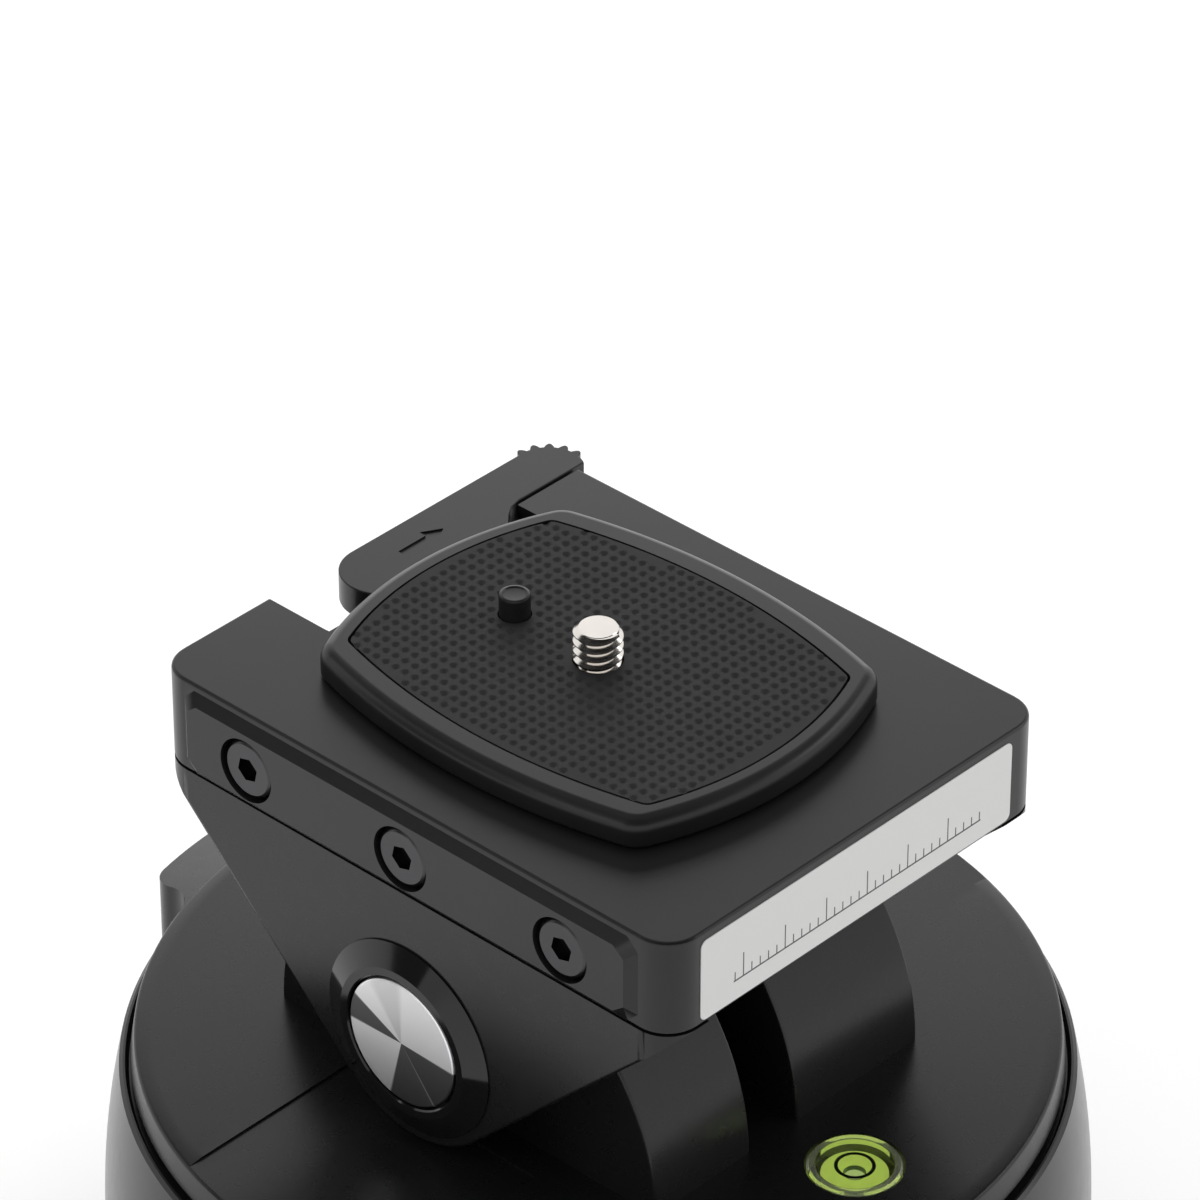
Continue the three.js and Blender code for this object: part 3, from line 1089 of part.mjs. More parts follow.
add('lever_spring', coil('lever_spring', springInner, LEVER_SPRING_WIRE, LEVER_SPRING_TURNS,
  LEVER_SPRING_PITCH, notchFloor + SEAT_GAP, PIVOT_X, PIVOT_Y), steel());

// Quick-release plate: a bowed rim, a foot in the platform's socket, and a rubber pad
const plateLow = PLATFORM_TOP - PLATE_SOCKET_DEPTH + SEAT_GAP;
const rimLow = PLATFORM_TOP + SEAT_GAP;
const rimHigh = rimLow + PLATE_RIM_HEIGHT;
const padLow = rimHigh - PAD_THICK;
const padShape = (grow) => bowedRectangle(
  PAD_HALF_X + grow, PAD_HALF_Y + grow, PAD_BOW_X, PAD_BOW_Y, PAD_CORNER + grow);
const plateFoot = prism(roundedRectangle(
  -PLATE_FOOT_HALF_X, PLATE_FOOT_FRONT, PLATE_FOOT_HALF_X, plateFootRear, PLATE_FOOT_CORNER,
), plateLow, rimLow + SEAT_GAP);
const headRoof = plateLow + SEAT_GAP + CAMERA_HEAD_HEIGHT + SEAT_GAP;
const chamberRoof = padLow - SEAT_GAP - PIN_CHAMBER_ROOF;
const chamberRadius = PIN_FLANGE_RADIUS + SEAT_GAP;
const plateCuts = [
  prism(padShape(SEAT_GAP), padLow - SEAT_GAP, rimHigh + CUT_OVER),
  rod(CAMERA_SCREW_RADIUS + SEAT_GAP, plateLow - CUT_OVER, rimHigh, 0, 0, ROUND),
  rod(CAMERA_HEAD_RADIUS + SEAT_GAP, plateLow - CUT_OVER, headRoof, 0, 0, ROUND),
  rod(PIN_RADIUS + SEAT_GAP, plateLow - CUT_OVER, rimHigh, 0, PIN_Y),
  rod(chamberRadius, plateLow - CUT_OVER, chamberRoof, 0, PIN_Y),
];
add('quick_plate', plateCuts.reduce((solid, cut) => solid.subtract(cut), crownedPrism(
  bowedRectangle(PLATE_HALF_X, PLATE_HALF_Y, PLATE_BOW_X, PLATE_BOW_Y, PLATE_CORNER),
  rimLow, rimHigh, PLATE_ROUND_DROP, PLATE_ROUND_INSET, CROWN_STEPS).add(plateFoot)), blackSatin());
const padHole = (radius, y, steps) => rod(
  radius + SEAT_GAP, padLow - CUT_OVER, rimHigh + CUT_OVER, 0, y, steps);
add('plate_pad', prism(padShape(0), padLow, rimHigh)
  .subtract(padHole(CAMERA_SCREW_RADIUS, 0, ROUND))
  .subtract(padHole(PIN_RADIUS, PIN_Y, SMALL)), blackRubber());

// Camera screw with a coin slot under its head
const headLow = plateLow + SEAT_GAP;
const headHigh = headLow + CAMERA_HEAD_HEIGHT;
const cameraScrewTop = rimHigh + CAMERA_SCREW_UP;
add('camera_screw', turned([
  [0, headLow],
  [CAMERA_HEAD_RADIUS, headLow],
  [CAMERA_HEAD_RADIUS, headHigh],
  [CAMERA_SCREW_RADIUS, headHigh],
  [CAMERA_SCREW_RADIUS, cameraScrewTop - CAMERA_SCREW_CHAMFER],
  [CAMERA_SCREW_RADIUS - CAMERA_SCREW_CHAMFER, cameraScrewTop],
  [0, cameraScrewTop],
], ROUND).subtract(block(
  [-CAMERA_HEAD_RADIUS - CUT_OVER, -COIN_SLOT_WIDTH / 2, headLow - CUT_OVER],
  [CAMERA_HEAD_RADIUS + CUT_OVER, COIN_SLOT_WIDTH / 2, headLow + COIN_SLOT_DEPTH])), nickel());

// Anti-twist pin: a hollow plunger on a spring, kept in by a plug
const pinTop = rimHigh + PIN_UP;
const flangeTop = chamberRoof - SEAT_GAP;
const flangeLow = flangeTop - PIN_FLANGE_THICK;
const pinRoof = pinTop - PIN_TOP_WALL;
const pinBore = PIN_SPRING_RADIUS + PIN_SPRING_WIRE / 2 + SEAT_GAP;
const plugTop = plateLow + PIN_PLUG_THICK;
add('anti_twist_pin', turned([
  [pinBore, flangeLow],
  [PIN_FLANGE_RADIUS, flangeLow],
  [PIN_FLANGE_RADIUS, flangeTop],
  [PIN_RADIUS, flangeTop],
  [PIN_RADIUS, pinTop - PIN_EDGE],
  [PIN_RADIUS - PIN_EDGE, pinTop],
  [0, pinTop],
  [0, pinRoof],
  [pinBore, pinRoof],
  [pinBore, flangeLow],
], SMALL, 0, PIN_Y), blackSatin());
const pinSpringRoom = pinRoof - plugTop - 2 * SEAT_GAP;
add('pin_spring', coil('pin_spring', PIN_SPRING_RADIUS, PIN_SPRING_WIRE, PIN_SPRING_TURNS,
  (pinSpringRoom - PIN_SPRING_WIRE) / PIN_SPRING_TURNS, plugTop + SEAT_GAP, 0, PIN_Y), steel());
add('pin_plug', rod(PIN_FLANGE_RADIUS, plateLow, plugTop, 0, PIN_Y), blackSatin());

export default head;
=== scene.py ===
# Remote pan tilt head: a motorised turret on a foot, with a tilting platform that carries a
# quick-release plate. The sections follow the head from its foot up. Sizes are in millimetres
# and become metres through MM.
import math

import bpy
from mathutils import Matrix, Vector


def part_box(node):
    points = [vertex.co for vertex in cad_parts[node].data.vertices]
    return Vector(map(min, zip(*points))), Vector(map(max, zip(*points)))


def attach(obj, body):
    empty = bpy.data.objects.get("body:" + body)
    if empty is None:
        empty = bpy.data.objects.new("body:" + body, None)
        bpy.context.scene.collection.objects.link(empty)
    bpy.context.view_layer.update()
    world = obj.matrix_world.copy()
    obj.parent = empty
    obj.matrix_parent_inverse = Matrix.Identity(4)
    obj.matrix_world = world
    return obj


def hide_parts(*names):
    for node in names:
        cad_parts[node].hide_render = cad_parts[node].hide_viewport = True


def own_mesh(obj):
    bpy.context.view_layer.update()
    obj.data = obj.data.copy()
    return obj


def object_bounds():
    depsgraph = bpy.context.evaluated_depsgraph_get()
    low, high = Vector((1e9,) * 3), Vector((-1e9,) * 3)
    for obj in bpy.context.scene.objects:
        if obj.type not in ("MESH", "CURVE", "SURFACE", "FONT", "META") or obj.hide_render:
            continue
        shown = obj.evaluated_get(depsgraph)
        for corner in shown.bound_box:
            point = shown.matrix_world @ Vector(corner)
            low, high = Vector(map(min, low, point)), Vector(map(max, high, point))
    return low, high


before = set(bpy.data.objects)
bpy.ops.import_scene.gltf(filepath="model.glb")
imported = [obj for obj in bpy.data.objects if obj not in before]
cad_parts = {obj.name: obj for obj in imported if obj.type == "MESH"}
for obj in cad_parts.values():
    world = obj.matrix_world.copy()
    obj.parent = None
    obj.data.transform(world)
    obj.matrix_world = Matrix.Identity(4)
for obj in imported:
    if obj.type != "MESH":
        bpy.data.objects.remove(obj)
cad_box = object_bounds()

MM = 0.001

# Camera: a long lens from the front left, a little over a metre away.
# It looks down at the platform, and its frame cuts the turret off below the cover.
CAMERA_AZIMUTH = math.radians(-46.744)
CAMERA_ELEVATION = math.radians(34.44)
CAMERA_DISTANCE = 1017.34
CAMERA_TARGET = Vector((69.44, 65.02, 62.0))
CAMERA_LENS = 218.17
SENSOR_WIDTH = 36

level_arm = math.cos(CAMERA_ELEVATION)
back = Vector((
    math.sin(CAMERA_AZIMUTH) * level_arm,
    -math.cos(CAMERA_AZIMUTH) * level_arm,
    math.sin(CAMERA_ELEVATION),
))
bpy.ops.object.camera_add(location=(CAMERA_TARGET + back * CAMERA_DISTANCE) * MM)
camera = bpy.context.object
camera.rotation_euler = (-back).to_track_quat("-Z", "Y").to_euler()
camera.data.lens = CAMERA_LENS
camera.data.sensor_width = SENSOR_WIDTH
camera.data.clip_start = 10 * MM
camera.data.clip_end = 100
bpy.context.scene.camera = camera


# Studio: a pale floor under a white sky, soft lamps, and dark cards that shape the gloss.
# The floor and the sky stay white for the camera and in reflections.
# The cards hide from the camera.
class Wire:
    """One socket of a shader tree. Python's operators on it add Math nodes."""

    def __init__(self, tree, socket):
        self.tree = tree
        self.socket = socket

    def node(self, kind, settings=None, inputs=None, out=0):
        """Adds a node, sets its settings, then fills its sockets with values or Wires."""
        made = self.tree.nodes.new("ShaderNode" + kind)
        for name, value in (settings or {}).items():
            setattr(made, name, value)
        for key, value in (inputs or {}).items():
            if isinstance(value, Wire):
                self.tree.links.new(value.socket, made.inputs[key])
            else:
                made.inputs[key].default_value = value
        return Wire(self.tree, made.outputs[out] if made.outputs else None)

    def math(self, operation, *others):
        """A Math node whose first value is this one."""
        return self.node("Math", {"operation": operation}, dict(enumerate((self, *others))))

    def __add__(self, other):
        return self.math("ADD", other)

    __radd__ = __add__

    def __sub__(self, other):
        return self.math("SUBTRACT", other)

    def __rsub__(self, other):
        return self.node("Math", {"operation": "SUBTRACT"}, {0: other, 1: self})

    def __mul__(self, other):
        return self.math("MULTIPLY", other)

    __rmul__ = __mul__

    def __truediv__(self, other):
        return self.math("DIVIDE", other)

    def __gt__(self, other):
        return self.math("GREATER_THAN", other)

    def __lt__(self, other):
        return self.math("LESS_THAN", other)

    def part(self, axis):
        """The X, Y or Z of a vector."""
        return self.node("SeparateXYZ", None, {0: self}, axis)

    def mix(self, dark, light):
        """A colour between two, by this mask."""
        return self.node(
            "Mix", {"data_type": "RGBA"}, {"Factor": self, "A": dark, "B": light}, "Result")


def shader_tree(owner):
    """Empties a material's or world's node tree and returns a Wire to build from."""
    owner.use_nodes = True
    owner.node_tree.nodes.clear()
    return Wire(owner.node_tree, None)


def new_material(name):
    """An empty material, and the Wire that its shader is built from."""
    material = bpy.data.materials.new(name)
    return material, shader_tree(material)


def seen_directly(start):
    """1 for camera, glossy and transmission rays, and 0 for the rays that light the object."""
    path = start.tree.nodes.new("ShaderNodeLightPath")
    rays = [Wire(start.tree, path.outputs[name]) for name in (
        "Is Camera Ray", "Is Glossy Ray", "Is Transmission Ray")]
    return rays[0].math("MAXIMUM", rays[1].math("MAXIMUM", rays[2]))


WHITE = (1, 1, 1, 1)
SKY_LIGHT = 0.68
FLOOR_GREY = (0.8, 0.8, 0.8, 1)
FLOOR_GLOW = 0.26
FLOOR_SIZE = 40

world = bpy.data.worlds.new("studio_sky")
bpy.context.scene.world = world
start = shader_tree(world)
sky_strength = SKY_LIGHT + (1 - SKY_LIGHT) * seen_directly(start)
sky = start.node("Background", None, {"Color": WHITE, "Strength": sky_strength})
start.node("OutputWorld", None, {"Surface": sky})

bpy.ops.mesh.primitive_plane_add(size=FLOOR_SIZE)
floor = bpy.context.object
floor.name = "floor"
floor_paint, start = new_material("floor")
matt = start.node("BsdfDiffuse", None, {"Color": FLOOR_GREY})
glow_strength = FLOOR_GLOW * seen_directly(start)
glow = start.node("Emission", None, {"Color": WHITE, "Strength": glow_strength})
both = start.node("AddShader", None, {0: matt, 1: glow})
start.node("OutputMaterial", None, {"Surface": both})
floor.data.materials.append(floor_paint)

# Each lamp: azimuth and elevation it shines from in degrees, distance, width, watts.
LAMPS = {
    "key": (150, 68, 1200, 800, 3.5),
    "left": (-110, 35, 1300, 700, 2),
    "right": (60, 40, 1300, 700, 2),
    "rear": (133, 13, 900, 700, 1.3),
}
middle = (cad_box[0] + cad_box[1]) / 2


def toward(azimuth, elevation):
    a, e = math.radians(azimuth), math.radians(elevation)
    return Vector((math.sin(a) * math.cos(e), -math.cos(a) * math.cos(e), math.sin(e)))


for lamp_name, (azimuth, elevation, distance, width, watts) in LAMPS.items():
    way = toward(azimuth, elevation)
    bpy.ops.object.light_add(type="AREA", location=middle + way * distance * MM)
    lamp = bpy.context.object
    lamp.name = lamp_name
    lamp.rotation_euler = way.to_track_quat("Z", "Y").to_euler()
    lamp.data.shape = "DISK"
    lamp.data.size = width * MM
    lamp.data.energy = watts

# Each card: azimuth, elevation, distance, width and height.
CARDS = {
    "card_left": (-128, 16, 900, 560, 560),
    "ceiling": (-46, 84, 700, 1900, 1900),
}
CARD_BLACK = (0.02, 0.02, 0.02, 1)
card_paint, start = new_material("card")
card_matt = start.node("BsdfDiffuse", None, {"Color": CARD_BLACK})
start.node("OutputMaterial", None, {"Surface": card_matt})
for card_name, (azimuth, elevation, distance, width, height) in CARDS.items():
    way = toward(azimuth, elevation)
    bpy.ops.mesh.primitive_plane_add(size=MM, location=middle + way * distance * MM)
    card = bpy.context.object
    card.name = card_name
    card.scale = (width, height, 1)
    card.rotation_euler = way.to_track_quat("Z", "Y").to_euler()
    card.visible_camera = card.visible_diffuse = card.visible_shadow = False
    card.data.materials.append(card_paint)


# Foot: a turned black plate with a hub, a ribbed rubber ring let into its underside,
# and a brass bush with the tripod thread pressed in from below.
# The steel thrust ring and the white gear on its hub stay as the frame has them.
FINE = 128
JOIN_DISTANCE = 0.002
SEAT = 0.3


def extent(node):
    """The lowest and highest corners of a frame node, in millimetres."""
    return [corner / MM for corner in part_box(node)]


def only(piece):
    """Selects one piece and nothing else."""
    bpy.ops.object.select_all(action="DESELECT")
    piece.select_set(True)
    bpy.context.view_layer.objects.active = piece


def outline(name, points, filled):
    """A ring of vertices on the given points, with or without a face."""
    bpy.ops.object.select_all(action="DESELECT")
    bpy.ops.mesh.primitive_circle_add(
        vertices=len(points), fill_type="NGON" if filled else "NOTHING")
    piece = bpy.context.object
    piece.name = name
    for vertex, point in zip(piece.data.vertices, points):
        vertex.co = Vector(point) * MM
    return piece


def close_up(piece):
    """Merges doubled vertices and turns all faces outwards."""
    only(piece)
    bpy.ops.object.mode_set(mode="EDIT")
    bpy.ops.mesh.select_all(action="SELECT")
    bpy.ops.mesh.remove_doubles(threshold=JOIN_DISTANCE * MM)
    bpy.ops.mesh.delete_loose(use_faces=False)
    bpy.ops.mesh.select_all(action="SELECT")
    bpy.ops.mesh.normals_make_consistent(inside=False)
    bpy.ops.object.mode_set(mode="OBJECT")
    return piece


def turned(name, profile, centre=(0, 0, 0), axis="Z", steps=FINE):
    """Spins a closed profile of (radius, along) points about an axis through a centre."""
    middle_of = Vector(centre)
    stand = {
        "X": lambda radius, along: (along, 0, radius),
        "Y": lambda radius, along: (radius, along, 0),
        "Z": lambda radius, along: (radius, 0, along),
    }[axis]
    piece = outline(name, [middle_of + Vector(stand(*point)) for point in profile], False)
    bpy.ops.object.mode_set(mode="EDIT")
    bpy.ops.mesh.select_all(action="SELECT")
    bpy.ops.mesh.spin(
        steps=steps, angle=2 * math.pi, center=middle_of * MM,
        axis=(axis == "X", axis == "Y", axis == "Z"))
    bpy.ops.object.mode_set(mode="OBJECT")
    return close_up(piece)


def smooth(piece, angle=32):
    """Shades a piece smooth, apart from edges sharper than the angle."""
    only(piece)
    bpy.ops.object.shade_smooth_by_angle(angle=math.radians(angle))
    weigh = piece.modifiers.new("weigh", "WEIGHTED_NORMAL")
    weigh.keep_sharp = True
    bpy.ops.object.modifier_apply(modifier=weigh.name)
    return piece


def paint(piece, material):
    piece.data.materials.clear()
    piece.data.materials.append(material)


def object_place(start):
    return start.node("TexCoord", None, None, "Object")


NOISE_DETAIL = 2.0


def noise(place, grain):
    """Noise whose blotches are about one grain across, in millimetres."""
    return place.node("TexNoise", None, {
        "Vector": place, "Scale": 1 / (grain * MM), "Detail": NOISE_DETAIL}, "Fac")


def finished(start, inputs, bump=None, bump_height=0.0):
    """Closes a material with a Principled shader, and a Bump node where it has relief."""
    if bump is not None:
        inputs["Normal"] = start.node(
            "Bump", None, {"Height": bump, "Distance": bump_height * MM})
    shader = start.node("BsdfPrincipled", None, inputs)
    start.node("OutputMaterial", None, {"Surface": shader})


BLUE_TRACE = 1.03
MOTTLE_SIZE = 9
SHEEN_SIZE = 2.2


def moulded(name, dark, light, roughness, grain, relief, spread=0.06, gloss=0.4):
    """Moulded black plastic or fine-blasted metal: a faint mottle over a fine eroded grain."""
    material, start = new_material(name)
    place = object_place(start)
    finished(start, {
        "Base Color": noise(place, MOTTLE_SIZE).mix(
            (dark, dark, dark * BLUE_TRACE, 1), (light, light, light * BLUE_TRACE, 1)),
        "Roughness": roughness - spread / 2 + spread * noise(place, SHEEN_SIZE),
        "Specular IOR Level": gloss,
    }, noise(place, grain), relief)
    return material


METAL_SHADE = 0.86
METAL_MOTTLE_SIZE = 3
METAL_SHEEN_SIZE = 1.2


def metal(name, colour, roughness, grain, relief, spread=0.1):
    """Bare metal with faint handling marks."""
    material, start = new_material(name)
    place = object_place(start)
    shade = tuple(METAL_SHADE * c for c in colour)
    finished(start, {
        "Base Color": noise(place, METAL_MOTTLE_SIZE).mix((*shade, 1), (*colour, 1)),
        "Metallic": 1.0,
        "Roughness": roughness - spread / 2 + spread * noise(place, METAL_SHEEN_SIZE),
    }, noise(place, grain), relief)
    return material


def place_piece(piece, material, body, slot, *nodes):
    """Paints a piece, lets it ride on its body and hides what it stands for. The slot is not used.
    """
    paint(piece, material)
    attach(piece, body)
    if nodes:
        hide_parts(*nodes)


black_metal = moulded("black_metal", 0.008, 0.012, 0.42, 0.12, 0.006)
rubber = moulded("rubber", 0.011, 0.017, 0.68, 0.2, 0.02)
brass = metal("brass", (0.72, 0.53, 0.24), 0.3, 0.3, 0.002)
steel = metal("steel", (0.62, 0.62, 0.63), 0.28, 0.25, 0.002)
nylon = moulded("nylon", 0.6, 0.72, 0.45, 0.3, 0.004)

foot_low, foot_high = extent("foot_plate")
ring_low, ring_high = extent("foot_ring")
bush_low, bush_high = extent("tripod_bush")
FOOT_STEP_Z = 7.4
HUB_RADIUS = 15
FOOT_CHAMFER = 1.6
BUSH_FLANGE_RADIUS = 10
BUSH_FLANGE = 1.5
BUSH_RADIUS = 7.5
TRIPOD_RADIUS = 3.175
THREAD_PITCH = 1.27
THREAD_DEPTH = 0.55
RING_INNER = 39
foot_radius = foot_high.x
ring_radius = ring_high.x + SEAT
ring_seat_top = ring_high.z + SEAT
foot = turned("foot_turning", [
    (0, foot_high.z),
    (HUB_RADIUS, foot_high.z),
    (HUB_RADIUS, FOOT_STEP_Z),
    (foot_radius - FOOT_CHAMFER, FOOT_STEP_Z),
    (foot_radius, FOOT_STEP_Z - FOOT_CHAMFER),
    (foot_radius, foot_low.z + FOOT_CHAMFER),
    (foot_radius - FOOT_CHAMFER, foot_low.z),
    (ring_radius, foot_low.z),
    (ring_radius, ring_seat_top),
    (RING_INNER, ring_seat_top),
    (RING_INNER, foot_low.z),
    (BUSH_FLANGE_RADIUS + SEAT, foot_low.z),
    (BUSH_FLANGE_RADIUS + SEAT, foot_low.z + BUSH_FLANGE + SEAT),
    (BUSH_RADIUS + SEAT, foot_low.z + BUSH_FLANGE + SEAT),
    (BUSH_RADIUS + SEAT, bush_high.z + SEAT),
    (0, bush_high.z + SEAT),
])
place_piece(smooth(foot), black_metal, "foot", "black_metal", "foot_plate")

RIB_PITCH = 1.6
RIB_DEPTH = 0.4
# Each corner of the groove between two ribs: its shares of the pitch and of the depth.
RIB_GROOVE = ((0.25, 0), (0.5, 0), (0.6, 1), (0.9, 1), (1, 0))
RING_EDGE = 0.35
rib_count = int((ring_high.x - RING_INNER - 2 * RING_EDGE) / RIB_PITCH)
ring_inner = RING_INNER + SEAT
ribs = []
for i in range(rib_count):
    rib_start = ring_inner + RING_EDGE + RIB_PITCH * i
    ribs += [(rib_start + share * RIB_PITCH, ring_low.z + deep * RIB_DEPTH)
             for share, deep in RIB_GROOVE]
foot_ring = turned("foot_ring_rubber", [
    (ring_inner, ring_high.z),
    (ring_inner, ring_low.z + RING_EDGE),
    (ring_inner + RING_EDGE, ring_low.z),
    *ribs,
    (ring_high.x - RING_EDGE, ring_low.z),
    (ring_high.x, ring_low.z + RING_EDGE),
    (ring_high.x, ring_high.z),
])
place_piece(smooth(foot_ring), rubber, "foot", "rubber_pad", "foot_ring")


def combine(piece, other, operation):
    """Cuts, joins or intersects a piece with another, which is used up."""
    only(piece)
    step = piece.modifiers.new(operation.lower(), "BOOLEAN")
    step.operation = operation
    step.solver = "EXACT"
    step.object = other
    bpy.ops.object.modifier_apply(modifier=step.name)
    bpy.data.objects.remove(other)


def cut(piece, *others):
    """Cuts each of the others out of a piece, in turn."""
    for other in others:
        combine(piece, other, "DIFFERENCE")
    return piece


def join(piece, *others):
    """Makes several meshes one piece without cutting them."""
    only(piece)
    for other in others:
        other.select_set(True)
    bpy.ops.object.join()
    return piece


def wound(section, pitch, turns, steps, start=0.0, centre=(0, 0)):
    """Winds a section round Z, caps both ends, then turns it and moves it to its centre."""
    wind = section.modifiers.new("wind", "SCREW")
    wind.screw_offset = pitch * MM
    wind.iterations = turns
    wind.steps = wind.render_steps = steps
    only(section)
    bpy.ops.object.modifier_apply(modifier=wind.name)
    bpy.ops.object.mode_set(mode="EDIT")
    bpy.ops.mesh.select_all(action="DESELECT")
    bpy.ops.mesh.select_non_manifold(extend=False)
    bpy.ops.mesh.edge_face_add()
    bpy.ops.mesh.select_all(action="SELECT")
    bpy.ops.transform.rotate(value=start, orient_axis="Z", center_override=(0, 0, 0))
    bpy.ops.transform.translate(value=(centre[0] * MM, centre[1] * MM, 0))
    bpy.ops.object.mode_set(mode="OBJECT")
    return close_up(section)


THREAD_STEPS = 48
THREAD_HALF_SHARE = 0.42
THREAD_BLUNT_SHARE = 0.12
THREAD_SINK = 0.02
THREAD_LEAD = 0.2
BUSH_CHAMFER = 0.4
BUSH_EDGE = 0.3


def thread_ridge(name, root, tip, low, high, start=0.0):
    """A V ridge of whole turns round Z that ends at high, for an outer or an inner thread."""
    half = THREAD_HALF_SHARE * THREAD_PITCH
    turns = int((high - low - 2 * half) / THREAD_PITCH)
    low = high - turns * THREAD_PITCH - 2 * half
    blunt = THREAD_BLUNT_SHARE * THREAD_PITCH
    ridge = outline(name, [
        (root, 0, low), (root, 0, low + 2 * half),
        (tip, 0, low + half + blunt / 2), (tip, 0, low + half - blunt / 2)], False)
    return wound(ridge, THREAD_PITCH, turns, THREAD_STEPS, start)


bush = turned("bush_turning", [
    (TRIPOD_RADIUS, bush_high.z),
    (TRIPOD_RADIUS, bush_low.z + BUSH_CHAMFER),
    (TRIPOD_RADIUS + BUSH_CHAMFER, bush_low.z),
    (BUSH_FLANGE_RADIUS - BUSH_EDGE, bush_low.z),
    (BUSH_FLANGE_RADIUS, bush_low.z + BUSH_EDGE),
    (BUSH_FLANGE_RADIUS, bush_low.z + BUSH_FLANGE),
    (BUSH_RADIUS, bush_low.z + BUSH_FLANGE),
    (BUSH_RADIUS, bush_high.z),
])
bush_thread = thread_ridge(
    "bush_thread", TRIPOD_RADIUS + THREAD_SINK, TRIPOD_RADIUS - THREAD_DEPTH,
    bush_low.z + THREAD_LEAD, bush_high.z)
place_piece(smooth(join(bush, bush_thread)), brass, "foot", "brass", "tripod_bush")
for node, material in {"pan_bearing": steel, "pan_gear": nylon}.items():
    paint(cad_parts[node], material)

# Barrel: a bulging black moulding with a floor, glossier than the cover above it.
# Its wall is cut away at the rear, where the cover's deep block comes down.
BARREL_LOW = 9
LEDGE_Z = 57.4
LEDGE_RADIUS = 61.9
LEDGE_EDGE = 0.4
LEDGE_FLAT = 0.7
LEDGE_GROOVE = 0.9
GROOVE_OUTER = 1.2
BELLY_RADIUS = 64.6
BELLY_STEPS = 32
WIDE_STEPS = 192
OVER = 1
BARREL_WALL = 2.4
BARREL_EDGE = 1.5
EDGE_MIDWAY = 0.4
FLOOR_TOP = 11.5
LIP_OUTER = 57.3
LIP_INNER = 55.7
LIP_TOP = 59.2
COVER_RADIUS = 60
BLOCK_RADIUS = 67.3
BLOCK_HALF_ANGLE = math.radians(12.5)
BLOCK_CORNER = 3.5
BLOCK_FILLET = 5
FILLET_BITE = 0.2


def arc(centre, radius, first, last, steps):
    """Points along an arc, ends included."""
    return [(
        centre[0] + radius * math.cos(first + (last - first) * i / steps),
        centre[1] + radius * math.sin(first + (last - first) * i / steps),
    ) for i in range(steps + 1)]


def block_outline(margin, inner):
    """The rear block's outline, grown by a margin and closed by an arc inside the wall."""
    corner_reach = BLOCK_RADIUS - BLOCK_CORNER
    fillet_reach = COVER_RADIUS + BLOCK_FILLET - FILLET_BITE
    apart = BLOCK_CORNER + BLOCK_FILLET
    between = math.acos(
        (corner_reach ** 2 + fillet_reach ** 2 - apart ** 2) / (2 * corner_reach * fillet_reach))
    corner_angle = math.pi / 2 - BLOCK_HALF_ANGLE
    fillet_angle = corner_angle - between
    corner_at = (corner_reach * math.cos(corner_angle), corner_reach * math.sin(corner_angle))
    fillet_at = (fillet_reach * math.cos(fillet_angle), fillet_reach * math.sin(fillet_angle))
    meet = math.atan2(corner_at[1] - fillet_at[1], corner_at[0] - fillet_at[0])
    half = [
        *arc(fillet_at, BLOCK_FILLET - margin, fillet_angle + math.pi, meet, 12),
        *arc(corner_at, BLOCK_CORNER + margin, meet - math.pi, corner_angle, 12)[1:],
        *arc((0, 0), BLOCK_RADIUS + margin, corner_angle, math.pi / 2, 8)[1:],
    ]
    mirrored = [(-x, y) for x, y in reversed(half[:-1])]
    inside = arc((0, 0), inner, math.pi - fillet_angle, fillet_angle, 16)
    return [*half, *mirrored, *inside]


def prism(name, points, low, high, axis="Z"):
    """Pushes an outline along an axis from low to high."""
    stand = {
        "X": lambda u, v: (low, u, v),
        "Y": lambda u, v: (u, low, v),
        "Z": lambda u, v: (u, v, low),
    }[axis]
    piece = outline(name, [stand(u, v) for u, v in points], True)
    push = [(high - low) * MM * (letter == axis) for letter in "XYZ"]
    bpy.ops.object.mode_set(mode="EDIT")
    bpy.ops.mesh.select_all(action="SELECT")
    bpy.ops.mesh.extrude_region_move(TRANSFORM_OT_translate={"value": push})
    bpy.ops.object.mode_set(mode="OBJECT")
    return close_up(piece)


